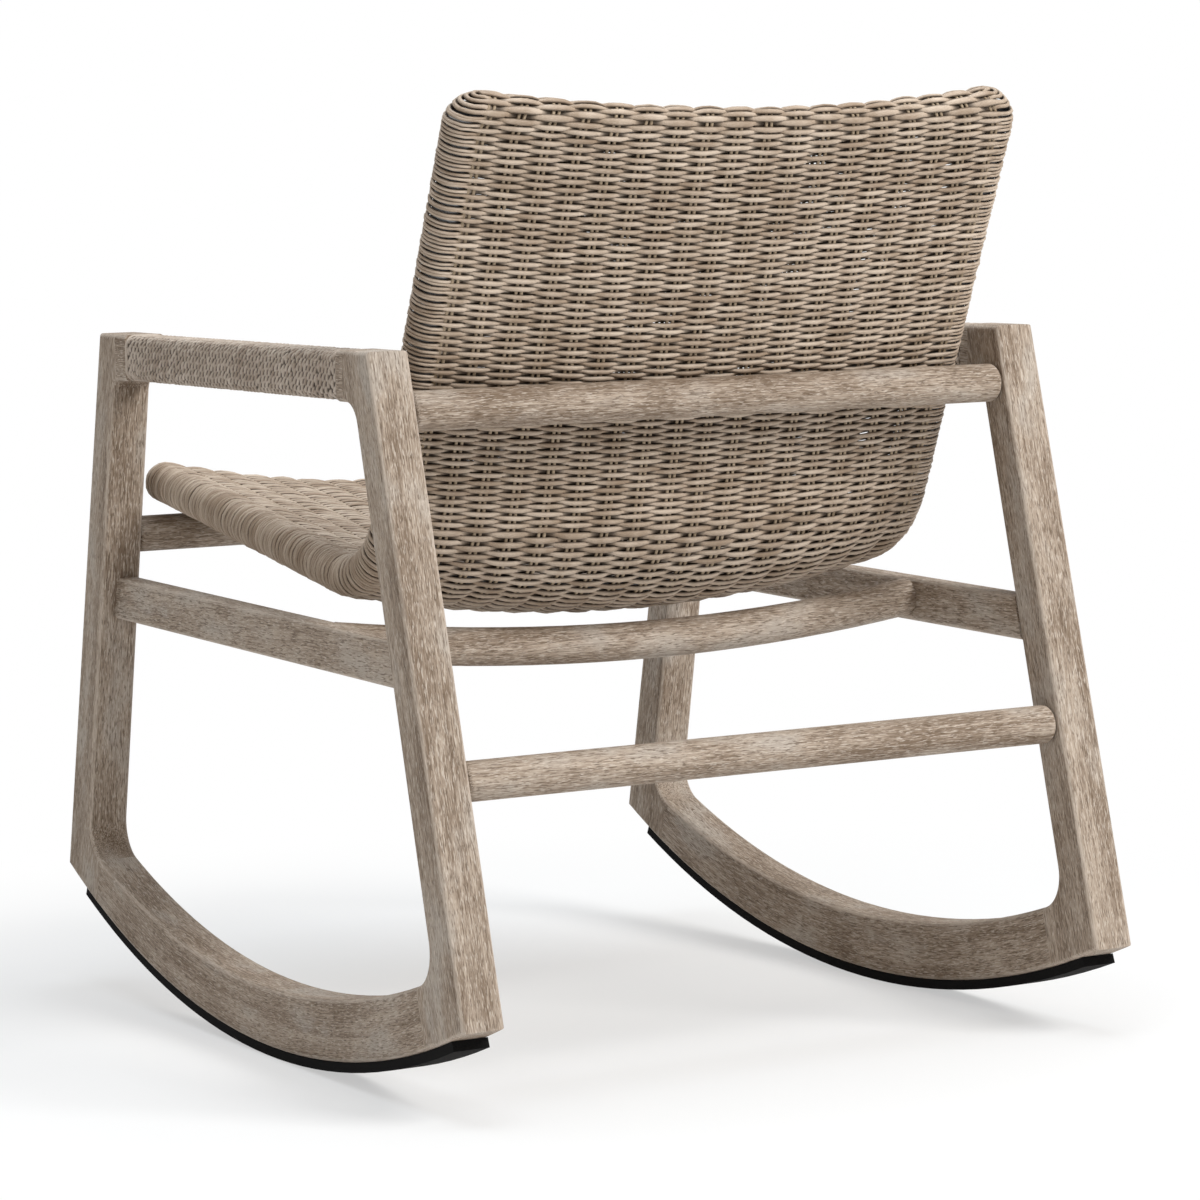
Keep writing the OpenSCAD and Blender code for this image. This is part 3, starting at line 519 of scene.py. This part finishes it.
def wood_material(name, settings, turn=None, offset=None, arc=False, worn=True):
    """Weathered wood whose grain runs along X after turn, or round the rocking axis if arc is set."""
    mat, tree, shader = material(name)
    coord = tree.nodes.new("ShaderNodeTexCoord")
    vector = coord.outputs["Object"]
    if arc:
        split = tree.nodes.new("ShaderNodeSeparateXYZ")
        tree.links.new(vector, split.inputs[0])
        y = maths(tree, "SUBTRACT", split.outputs[1], ROCK_Y + REST_Y)
        z = maths(tree, "SUBTRACT", ROCK_Z, split.outputs[2])
        angle = maths(tree, "ARCTAN2", y, z)
        squares = maths(tree, "ADD", maths(tree, "MULTIPLY", y, y), maths(tree, "MULTIPLY", z, z))
        reach = maths(tree, "SQRT", squares)
        join = tree.nodes.new("ShaderNodeCombineXYZ")
        tree.links.new(maths(tree, "MULTIPLY", angle, GRAIN_R), join.inputs[0])
        tree.links.new(split.outputs[0], join.inputs[1])
        tree.links.new(reach, join.inputs[2])
        vector = join.outputs[0]
    elif turn:
        rotate = tree.nodes.new("ShaderNodeMapping")
        rotate.inputs["Rotation"].default_value = turn
        rotate.inputs["Location"].default_value = offset
        tree.links.new(vector, rotate.inputs["Vector"])
        vector = rotate.outputs[0]
    node = tree.nodes.new("ShaderNodeGroup")
    node.node_tree = group_named("Weathered grain", grain_group)
    tree.links.new(vector, node.inputs["Vector"])
    node.inputs["Dark"].default_value = (*settings.dark, 1.0)
    node.inputs["Light"].default_value = (*settings.light, 1.0)
    node.inputs["Edge"].default_value = (*settings.edge, 1.0)
    if worn:
        # A board's rounded edges face neither along X nor square to it
        facing = tree.nodes.new("ShaderNodeNewGeometry")
        split = tree.nodes.new("ShaderNodeSeparateXYZ")
        tree.links.new(facing.outputs["Normal"], split.inputs[0])
        square = maths(tree, "MULTIPLY", split.outputs[0], split.outputs[0])
        slant = maths(tree, "MULTIPLY", square, maths(tree, "SUBTRACT", 1.0, square))
        tree.links.new(ramp(tree, slant, 0.02, 0.25, 0.0, 0.45), node.inputs["Wear"])
    else:
        node.inputs["Wear"].default_value = 0.0
    finish_with(tree, shader, node, strength=0.35, distance=0.0006)
    shader.inputs["Specular IOR Level"].default_value = 0.3
    return mat


def rubber_material():
    """Near-black rubber of the pads under the runners."""
    mat, tree, shader = material("Pad rubber")
    coord = tree.nodes.new("ShaderNodeTexCoord")
    speck = noise(tree, coord.outputs["Object"], 900.0, 2.0)
    colour = mix_colour(tree, ramp(tree, speck, 0.35, 0.75), (0.004, 0.004, 0.004), (0.014, 0.013, 0.013))
    tree.links.new(colour, shader.inputs["Base Color"])
    tree.links.new(ramp(tree, speck, 0.3, 0.7, 0.7, 0.88), shader.inputs["Roughness"])
    shader.inputs["Specular IOR Level"].default_value = 0.06
    bump = tree.nodes.new("ShaderNodeBump")
    bump.inputs["Strength"].default_value = 0.2
    bump.inputs["Distance"].default_value = 0.0003
    tree.links.new(speck, bump.inputs["Height"])
    tree.links.new(bump.outputs["Normal"], shader.inputs["Normal"])
    return mat


def metal_material():
    """Brushed steel of the screws, pins and inner tubes."""
    mat, tree, shader = material("Brushed metal")
    coord = tree.nodes.new("ShaderNodeTexCoord")
    lines = noise(tree, scaled(tree, coord.outputs["Object"], (60.0, 3000.0, 3000.0)), 1.0, 2.0)
    tree.links.new(mix_colour(tree, lines, (0.36, 0.36, 0.37), (0.62, 0.62, 0.63)), shader.inputs["Base Color"])
    tree.links.new(ramp(tree, lines, 0.2, 0.8, 0.3, 0.5), shader.inputs["Roughness"])
    shader.inputs["Metallic"].default_value = 1.0
    return mat


# The floor fades into the background between these distances from the middle
FLOOR_NEAR = 0.45
FLOOR_FAR = 1.1


def floor_material():
    """Pale floor that runs out into the white background away from the chair."""
    mat, tree, shader = material("Pale floor")
    shader.inputs["Base Color"].default_value = (0.88, 0.88, 0.88, 1)
    shader.inputs["Roughness"].default_value = 0.9
    coord = tree.nodes.new("ShaderNodeTexCoord")
    reach = tree.nodes.new("ShaderNodeVectorMath")
    reach.operation = "LENGTH"
    tree.links.new(coord.outputs["Object"], reach.inputs[0])
    path = tree.nodes.new("ShaderNodeLightPath")
    glow = tree.nodes.new("ShaderNodeEmission")
    mix = tree.nodes.new("ShaderNodeMixShader")
    faded = ramp(tree, reach.outputs["Value"], FLOOR_NEAR, FLOOR_FAR, 0.5, 1.0)
    tree.links.new(maths(tree, "MULTIPLY", faded, path.outputs["Is Camera Ray"]), mix.inputs[0])
    tree.links.new(shader.outputs[0], mix.inputs[1])
    tree.links.new(glow.outputs[0], mix.inputs[2])
    tree.links.new(mix.outputs[0], tree.nodes["Material Output"].inputs["Surface"])
    return mat


def dress(obj, mat, slot, *nodes):
    """Gives a new piece its material and its body, and hides the nodes that it stands for. The slot is not used."""
    obj.data.materials.clear()
    obj.data.materials.append(mat)
    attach(obj, "root")
    if nodes:
        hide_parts(*nodes)


# Steps on a quarter turn of a side roll, and how far the first edge row lies from the flat, in rows
ROLL_STEPS = 5
FIRST_CAP = 0.6


def loop_places(weave):
    """Once round the shell: share of the half width, roll angle, face and x of each step."""
    edge = (weave.columns - 1) / 2 * weave.column_pitch / MM
    # Six steps from one pair to the next, closer together where the rows cross
    between = np.array([0, 0.24, 0.41, 0.5, 0.59, 0.76])
    across = (np.arange(weave.columns - 1)[:, None] + between).ravel() * weave.column_pitch / MM - edge
    across = np.append(across, edge)
    face_x = np.concatenate([[-SHELL_HALF], across, [SHELL_HALF]])
    quarter = np.linspace(90, 0, ROLL_STEPS + 1)[1:]
    round_roll = np.concatenate([quarter, quarter[:-1][::-1]])
    edge_share = np.ones(len(round_roll))
    edge_side = np.where(np.arange(len(round_roll)) < ROLL_STEPS, 1.0, -1.0)
    flat_roll, flat_side = np.full(len(face_x), 90.0), np.ones(len(face_x))
    share = [face_x / SHELL_HALF, edge_share, -face_x / SHELL_HALF, -edge_share]
    roll = [flat_roll, round_roll, flat_roll, round_roll]
    side = [flat_side, edge_side, -flat_side, -edge_side]
    return np.concatenate(share), np.concatenate(roll), np.concatenate(side)


def row_places(weave):
    """Every row of the weave, as arrays of its place on the spine and its cap angle."""
    count = round(SHELL_END * MM / weave.row_pitch) + 1
    cap = 90.0 * (np.arange(weave.cap_rows) + FIRST_CAP) / weave.cap_rows
    places = np.concatenate([np.zeros(len(cap)), np.linspace(0, SHELL_END, count), np.full(len(cap), SHELL_END)])
    return places, np.concatenate([-cap[::-1], np.zeros(count), cap])


def surface_frame(rows, caps, share, roll, side):
    """Points, outward normals and row directions of the shell for rows x steps."""
    shape = (len(rows), len(share))
    grid = [np.broadcast_to(v, shape) for v in (rows[:, None], caps[:, None], share, roll, side)]
    points = skin(*grid)
    along = np.roll(points, -1, 1) - np.roll(points, 1, 1)
    across = np.gradient(points, axis=0)
    normal = away_from_middle(points, unit_rows(np.cross(along, across)))
    return points, normal, unit_rows(across)


# How a row strays: its slow waves once round the shell, and its unevenness as a share of them
WANDER_WAVES = (5, 9, 14)
UNEVEN = 0.6
# A row eases from the woven face to the plain side roll over this distance
EASE = 0.012
# The lower this power, the longer a strand stays on top of a column
STAY = 0.7
# A strand widens this much more under a pair than over it
UNDER_WIDTH = 1.5
# Spread of the strands' widths, and the most that one widens where the rows run apart
WIDTH_SPREAD = 0.03
WIDEST = 1.4
# What the side rolls add to a strand's lift, which keeps the painted deep shade off them
ROLL_LIFT = 0.28
# The shell's woven pieces, from the front edge to the top edge, with the node that each stands for
WOVEN = {"weave_front": (), "weave_seat": ("seat_weave",), "weave_bend": (), "weave_back": ("back_weave",),
         "weave_top": ()}


class CHAIR_OT_weave_rows(bpy.types.Operator):
    """Weaves the rows that run round both faces of the shell"""
    bl_idname = "rocking_chair.weave_rows"
    bl_label = "Weave the rows"

    @staticmethod
    def wandering(rng, count, steps, size):
        """How far each of count closed rows strays at its steps: slow waves and a little unevenness."""
        stray = rng.normal(0, UNEVEN * size, (count, steps))
        for waves in WANDER_WAVES:
            phase = rng.random((count, 1)) + waves * np.arange(steps) / steps
            stray = stray + size * np.sin(2 * np.pi * phase)
        return stray

    def execute(self, context):
        weave = context.scene.chair_weave
        share, roll, side = loop_places(weave)
        rows, caps = row_places(weave)
        points, normal, across = surface_frame(rows, caps, share, roll, side)
        steps, sides = len(share), 6
        rng = np.random.default_rng(weave.seed)
        index = np.arange(len(rows))[:, None]
        edge = (weave.columns - 1) / 2 * weave.column_pitch
        x = share * SHELL_HALF * MM
        # 1 on the two faces, where the roll angle is 90, and 0 on the side rolls
        flat = np.clip((SHELL_HALF * MM - np.abs(x)) / EASE, 0, 1) * (roll > 89)
        flat = flat * flat * (3 - 2 * flat)
        wave = np.cos(np.pi * (x + edge) / weave.column_pitch + np.pi * index) * flat * side
        # A strand stays on top for most of a column and dives under its neighbours where the rows cross
        lifted = np.sign(wave) * np.abs(wave) ** STAY
        jitter = self.wandering(rng, len(rows), steps, weave.wander)
        depth = weave.depth * flat + weave.strand / 2 * (1 - flat)
        centre = points + normal * (lifted * weave.swing - depth + jitter)[..., None]
        # The side rolls' strands lie a little apart, with dark slits between them
        half_across = weave.strand / 2 * (1 - weave.slit * (1 - flat)) \
            + (weave.crest - weave.strand) / 2 * np.where(lifted > 0, 1.0, UNDER_WIDTH) * np.abs(lifted)
        half_across = half_across * (1 + rng.normal(0, WIDTH_SPREAD, (len(rows), 1)))
        # Strands lie flatter where the outer layer runs wide round the bend, so the weave stays closed there
        spacing = np.linalg.norm(np.gradient(points, axis=0), axis=-1) / weave.row_pitch
        half_across = half_across * np.clip(spacing, 1.0, WIDEST)
        stray = self.wandering(rng, len(rows), steps, weave.wander)
        # On the side rolls the strands part into pairs
        pairs = np.where(index % 2 > 0, 1.0, -1.0) * weave.parting * rng.random((len(rows), 1)) * (1 - flat)
        centre = centre + across * (stray + pairs)[..., None]
        half_normal = np.full(half_across.shape, weave.strand / 2)
        tube = tube_points(centre, across, normal, half_across, half_normal, sides)
        run = np.cumsum(np.linalg.norm(points - np.roll(points, 1, 1), axis=-1), 1)
        tone = rng.random(len(rows))
        # Painted shade darkens a strand where this lift is low, where it dives under a pair
        lift = 0.5 + 0.5 * lifted + ROLL_LIFT * (1 - flat)
        cuts = np.linspace(0, len(rows), len(WOVEN) + 1).astype(int)
        mat = wicker_material("Wicker", weave.dark, weave.light, weave.shade)
        for (name, nodes), a, b in zip(WOVEN.items(), cuts[:-1], cuts[1:]):
            obj = strand_grid(name, b - a, steps, sides)
            set_strands(obj, tube[a:b], tone[a:b, None, None], run[a:b, :, None], lift[a:b, :, None])
            dress(obj, mat, "wicker", *nodes)
        return {"FINISHED"}


# An upright strand follows every third row. It lies above the rows' mean depth, strays a little and is oval.
UPRIGHT_STEP = 3
UPRIGHT_RISE = 0.0004
UPRIGHT_STRAY = 0.0002
UPRIGHT_FLAT = 0.8


class CHAIR_OT_weave_uprights(bpy.types.Operator):
    """Lays the pairs of upright strands that the rows weave round"""
    bl_idname = "rocking_chair.weave_uprights"
    bl_label = "Lay the upright strands"

    def execute(self, context):
        weave = context.scene.chair_weave
        rows, caps = row_places(weave)
        last = len(rows) - 1
        keep = np.unique(np.concatenate([np.arange(0, len(rows), UPRIGHT_STEP), [1, last - 1, last]]))
        rows, caps = rows[keep], caps[keep]
        edge = (weave.columns - 1) / 2 * weave.column_pitch / MM
        middle = np.linspace(-edge, edge, weave.columns)
        gap = weave.upright_gap / MM / 2
        x = np.sort(np.concatenate([middle - gap, middle + gap]))
        rows = np.concatenate([rows, rows[::-1]])
        caps = np.concatenate([caps, caps[::-1]])
        side = np.concatenate([np.ones(len(keep)), -np.ones(len(keep))])
        shape = (len(x), len(rows))
        points = skin(*[np.broadcast_to(v, shape) for v in (rows, caps, x[:, None] / SHELL_HALF, 90.0, side)])
        along = unit_rows(np.roll(points, -1, 1) - np.roll(points, 1, 1))
        across = np.broadcast_to(np.array([1.0, 0.0, 0.0]), points.shape)
        normal = away_from_middle(points, unit_rows(np.cross(across, along)))
        rng = np.random.default_rng(weave.seed + 1)
        centre = points - normal * (weave.depth - UPRIGHT_RISE)
        centre = centre + across * rng.normal(0, UPRIGHT_STRAY, shape)[..., None]
        half = np.full(shape, weave.upright / 2)
        sides = 6
        obj = strand_grid("weave_uprights", len(x), len(rows), sides)
        tube = tube_points(centre, across, normal, half, half * UPRIGHT_FLAT, sides)
        run = np.cumsum(np.linalg.norm(points - np.roll(points, 1, 1), axis=-1), 1)
        set_strands(obj, tube, rng.random(len(x))[:, None, None], run[..., None], 0.5)
        mat = wicker_material("Wicker core", weave.upright_dark, weave.upright_light, weave.shade)
        dress(obj, mat, "wicker")
        return {"FINISHED"}


# The wound arm in the frame's millimetres and degrees, and the room left at its two ends in metres
ARM_DEPTH = 40.5
ARM_SLOPE = 2.0
STOCK_T = 37.2
SLEEVE_ROOM = 0.0004
# Steps round each corner of a turn and along each of its flats
CORNER_STEPS = 9
FLAT_STEPS = 11
# The turns lean less towards both ends of the sleeve, over this distance
LEAN_EASE = 0.035
# Spread of the turns' phases and the drift of each, in radians, and the turns' unevenness
PHASE_SPREAD = 0.42
PHASE_DRIFT = 0.5
TURN_STRAY = 0.00016
# Width of a turn as a share of the pitch, and its lift, which sets the painted shade where the turn passes under: the
# mean, and what the wave adds
TURN_WIDTH = (1.24, 0.28)
TURN_LIFT = (0.42, 0.44)
# Thickness of the plain band against the other turns'
BAND_THICKER = 1.25


def sleeve_outline(half_w, half_h, corner):
    """Once round a rounded rectangle: points [x, h], outward directions and distance run."""
    points, normals = [], []
    for k, (sx, sy) in enumerate(((1, 1), (-1, 1), (-1, -1), (1, -1))):
        angles = np.radians(90 * k + np.linspace(0, 90, CORNER_STEPS))
        out = np.stack([np.cos(angles), np.sin(angles)], 1)
        arc = np.array([sx * (half_w - corner), sy * (half_h - corner)]) + corner * out
        # The flat runs on from the arc's last point to the next corner
        span = 2 * (half_h if k % 2 else half_w) - 2 * corner
        steps = np.arange(1, FLAT_STEPS + 1)[:, None] / (FLAT_STEPS + 1)
        ahead = np.array([-out[-1][1], out[-1][0]])
        points += [arc, arc[-1] + ahead * span * steps]
        normals += [out, np.repeat(out[-1:], FLAT_STEPS, 0)]
    points, normals = np.concatenate(points), np.concatenate(normals)
    step = np.linalg.norm(points - np.roll(points, 1, 0), axis=1)
    return points, normals, np.cumsum(step)


class CHAIR_OT_wind_arms(bpy.types.Operator):
    """Winds the strand round each arm"""
    bl_idname = "rocking_chair.wind_arms"
    bl_label = "Wind the arms"

    def execute(self, context):
        sleeve = context.scene.chair_sleeve
        weave = context.scene.chair_weave
        mat = wicker_material("Wicker sleeve", sleeve.dark, sleeve.light, weave.shade)
        slope = math.radians(ARM_SLOPE)
        tilt = slope - REST_LEAN
        half_h = ARM_DEPTH * math.cos(slope) / 2 * MM
        for label, sign in (("left", 1), ("right", -1)):
            node = "arm_wrap_" + label
            lo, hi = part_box(node)
            depth = (hi.y - lo.y - SLEEVE_ROOM - 2 * half_h * math.sin(tilt)) / math.cos(tilt)
            strand = sleeve.pitch
            turns = int(depth / strand)
            section, normals, run = sleeve_outline(STOCK_T / 2 * MM, half_h, sleeve.corner)
            steps, sides = len(section), 5
            middle = np.array([(lo.x + hi.x) / 2, (lo.y + hi.y) / 2, (lo.z + hi.z) / 2])
            ahead = np.array([0.0, math.cos(tilt), math.sin(tilt)])
            up = np.array([0.0, -math.sin(tilt), math.cos(tilt)])
            side_way = np.array([1.0, 0.0, 0.0])
            index = np.arange(turns)
            at = (index - (turns - 1) / 2) * depth / turns
            rng = np.random.default_rng(weave.seed + 5 + sign)
            waves = round(run[-1] / (2 * sleeve.tick))
            phase = np.pi * index[:, None] + rng.normal(0, PHASE_SPREAD, (turns, 1))
            phase = phase + PHASE_DRIFT * np.sin(2 * np.pi * (run / run[-1] + rng.random((turns, 1))))
            wave = np.cos(2 * np.pi * waves * run[None, :] / run[-1] + phase)
            # The first turn is a plain rolled band that stands a little proud
            band = (index == 0)[:, None]
            wave = np.where(band, 1.0, wave)
            inset = strand / 2 + sleeve.swing * (1 - wave)
            ease = np.clip(np.minimum(at - at[0], at[-1] - at) / LEAN_EASE, 0, 1)[:, None]
            leant = sleeve.lean * section[:, 1] * ease
            shape = (turns, steps)
            normal = np.broadcast_to(normals[:, :1] * side_way + normals[:, 1:] * up, (*shape, 3))
            ring = section[:, :1] * side_way + section[:, 1:] * up
            centre = middle + ahead * (at[:, None] + leant)[..., None] + ring[None] - normal * inset[..., None]
            across = np.broadcast_to(ahead, (*shape, 3))
            centre = centre + across * rng.normal(0, TURN_STRAY, shape)[..., None]
            half_across = strand / 2 * (TURN_WIDTH[0] + TURN_WIDTH[1] * wave)
            half_normal = np.full(shape, strand / 2) * np.where(band, BAND_THICKER, 1.0)
            obj = strand_grid("arm_sleeve_" + label, turns, steps, sides)
            tube = tube_points(centre, across, normal, half_across, half_normal, sides)
            # Painted shade darkens a turn where this lift is low, in the slits where it passes under the lengthwise
            # strands
            lift = TURN_LIFT[0] + TURN_LIFT[1] * wave
            set_strands(obj, tube, rng.random(turns)[:, None, None], np.broadcast_to(run, shape)[..., None],
                        lift[..., None])
            dress(obj, mat, "wicker", node)
        return {"FINISHED"}


# Rake of the upright chair's legs, in degrees
FRONT_RAKE = 10.0
REAR_RAKE = -16.9


class CHAIR_OT_finish_wood(bpy.types.Operator):
    """Gives the frame's wooden pieces their weathered grain"""
    bl_idname = "rocking_chair.finish_wood"
    bl_label = "Finish the wood"

    def execute(self, context):
        wood = context.scene.chair_wood
        quarter = math.pi / 2
        front = math.radians(FRONT_RAKE) + REST_LEAN
        rear = math.radians(REAR_RAKE) + REST_LEAN
        # The turns lay the grain along each piece, and the offsets keep two pieces from showing the same grain
        kinds = {
            "front_leg": wood_material("Front leg wood", wood, (front, quarter, 0.0), (0.3, 0.1, 0.2)),
            "rear_leg": wood_material("Rear leg wood", wood, (rear, quarter, 0.0), (0.7, 0.3, 0.1)),
            "arm_rail": wood_material("Arm wood", wood, (0.0, 0.0, -quarter), (0.1, 0.5, 0.3)),
            "seat_rail": wood_material("Rail wood", wood, (0.0, 0.0, -quarter), (0.9, 0.2, 0.6)),
            "runner": wood_material("Runner wood", wood, arc=True),
            "crossbar": wood_material("Crossbar wood", wood, worn=False),
        }
        rubber, metal = rubber_material(), metal_material()
        for name, obj in CAD_NODES.items():
            if obj.hide_render:
                continue
            if name.startswith("runner_pad"):
                mat = rubber
            elif "screw" in name or name.startswith("shell_"):
                mat = metal
            elif name.endswith("crossbar") or name == "lower_stretcher" or "dowels" in name:
                mat = kinds["crossbar"]
            else:
                mat = next(kinds[k] for k in kinds if name.startswith(k))
            obj.data.materials.clear()
            obj.data.materials.append(mat)
        return {"FINISHED"}


# The camera of the upright chair: its place, and the direction that it looks from, in degrees
CAMERA_AT = (1.744, 3.109, 0.8436)
CAMERA_AZIMUTH = 150.354
CAMERA_HEIGHT = 7.772
AIM = Vector((0, 0, 0.4))
FLOOR_SIZE = 40.0
FLOOR_GAP = 0.0005
# Setting, place, size and colour of each soft light
LIGHTS = (("key", (-1.6, 3.0, 3.0), 1.8, (1.0, 0.99, 0.97)),
          ("fill", (2.6, 1.4, 1.4), 2.6, (1.0, 0.95, 0.88)),
          ("top", (0.2, 0.0, 3.4), 2.4, (0.84, 0.92, 1.0)))
SURROUND = (1.0, 0.965, 0.91, 1)


class CHAIR_OT_set_stage(bpy.types.Operator):
    """Sets the floor, the soft lights and the camera"""
    bl_idname = "rocking_chair.set_stage"
    bl_label = "Set the stage"

    def execute(self, context):
        stage = context.scene.chair_stage
        scene = context.scene
        scene.view_settings.view_transform = "Standard"
        deselect()
        bpy.ops.mesh.primitive_plane_add(size=FLOOR_SIZE, location=(0, 0, -FLOOR_GAP))
        floor = name_piece(context.active_object, "floor")
        floor.data.materials.append(floor_material())

        world = bpy.data.worlds.new("Studio")
        scene.world = world
        world.use_nodes = True
        tree = world.node_tree
        back = tree.nodes["Background"]
        back.inputs["Color"].default_value = SURROUND
        back.inputs["Strength"].default_value = stage.world
        white = tree.nodes.new("ShaderNodeBackground")
        white.inputs["Color"].default_value = (1, 1, 1, 1)
        white.inputs["Strength"].default_value = 1.0
        path = tree.nodes.new("ShaderNodeLightPath")
        seen = maths(tree, "MAXIMUM", path.outputs["Is Camera Ray"], path.outputs["Is Glossy Ray"])
        seen = maths(tree, "MAXIMUM", seen, path.outputs["Is Transmission Ray"])
        mix = tree.nodes.new("ShaderNodeMixShader")
        tree.links.new(seen, mix.inputs[0])
        tree.links.new(back.outputs[0], mix.inputs[1])
        tree.links.new(white.outputs[0], mix.inputs[2])
        tree.links.new(mix.outputs[0], tree.nodes["World Output"].inputs["Surface"])

        for key, at, size, colour in LIGHTS:
            deselect()
            bpy.ops.object.light_add(type="AREA", location=at)
            light = context.active_object
            light.name = key.capitalize() + " light"
            light.data.size = size
            light.data.energy = getattr(stage, key)
            light.data.color = colour
            light.rotation_euler = (AIM - light.location).to_track_quat("-Z", "Y").to_euler()

        deselect()
        bpy.ops.object.camera_add()
        camera = context.active_object
        camera.name = "Camera"
        camera.data.lens = stage.lens
        camera.data.sensor_width = 36.0
        camera.data.clip_end = 100.0
        place = rocked(CAMERA_AT)
        az, el = math.radians(CAMERA_AZIMUTH), math.radians(CAMERA_HEIGHT)
        view_back = Vector((math.sin(az) * math.cos(el), -math.cos(az) * math.cos(el), math.sin(el)))
        turn = Matrix.Rotation(-REST_LEAN, 4, "X") @ (-view_back).to_track_quat("-Z", "Y").to_matrix().to_4x4()
        camera.matrix_world = Matrix.Translation(Vector(place)) @ turn
        scene.camera = camera
        return {"FINISHED"}


class CHAIR_PT_sidebar(bpy.types.Panel):
    """Buttons and sizes of the rocking chair"""
    bl_label = "Rocking chair"
    bl_idname = "CHAIR_PT_sidebar"
    bl_space_type = "VIEW_3D"
    bl_region_type = "UI"
    bl_category = "Rocking chair"

    def draw(self, context):
        column = self.layout.column()
        for operator in OPERATORS:
            column.operator(operator.bl_idname)
        for key in SETTINGS:
            group = getattr(context.scene, key)
            for name in group.bl_rna.properties.keys():
                if name not in {"rna_type", "name"}:
                    column.prop(group, name)


OPERATORS = (CHAIR_OT_weave_rows, CHAIR_OT_weave_uprights, CHAIR_OT_wind_arms, CHAIR_OT_finish_wood,
             CHAIR_OT_set_stage)
SETTINGS = {"chair_weave": WeaveSettings, "chair_sleeve": SleeveSettings, "chair_wood": WoodSettings,
            "chair_stage": StageSettings}


def register():
    """Registers the settings, the operators and the panel."""
    for cls in (*SETTINGS.values(), *OPERATORS, CHAIR_PT_sidebar):
        bpy.utils.register_class(cls)
    for key, cls in SETTINGS.items():
        setattr(bpy.types.Scene, key, bpy.props.PointerProperty(type=cls))


def unregister():
    """Takes them out again."""
    for key in SETTINGS:
        delattr(bpy.types.Scene, key)
    for cls in (CHAIR_PT_sidebar, *reversed(OPERATORS), *reversed(list(SETTINGS.values()))):
        bpy.utils.unregister_class(cls)


def main():
    """Builds the whole scene."""
    register()
    bpy.ops.rocking_chair.weave_rows()
    bpy.ops.rocking_chair.weave_uprights()
    bpy.ops.rocking_chair.wind_arms()
    bpy.ops.rocking_chair.finish_wood()
    bpy.ops.rocking_chair.set_stage()
    bpy.context.view_layer.update()


if __name__ == "__main__":
    main()
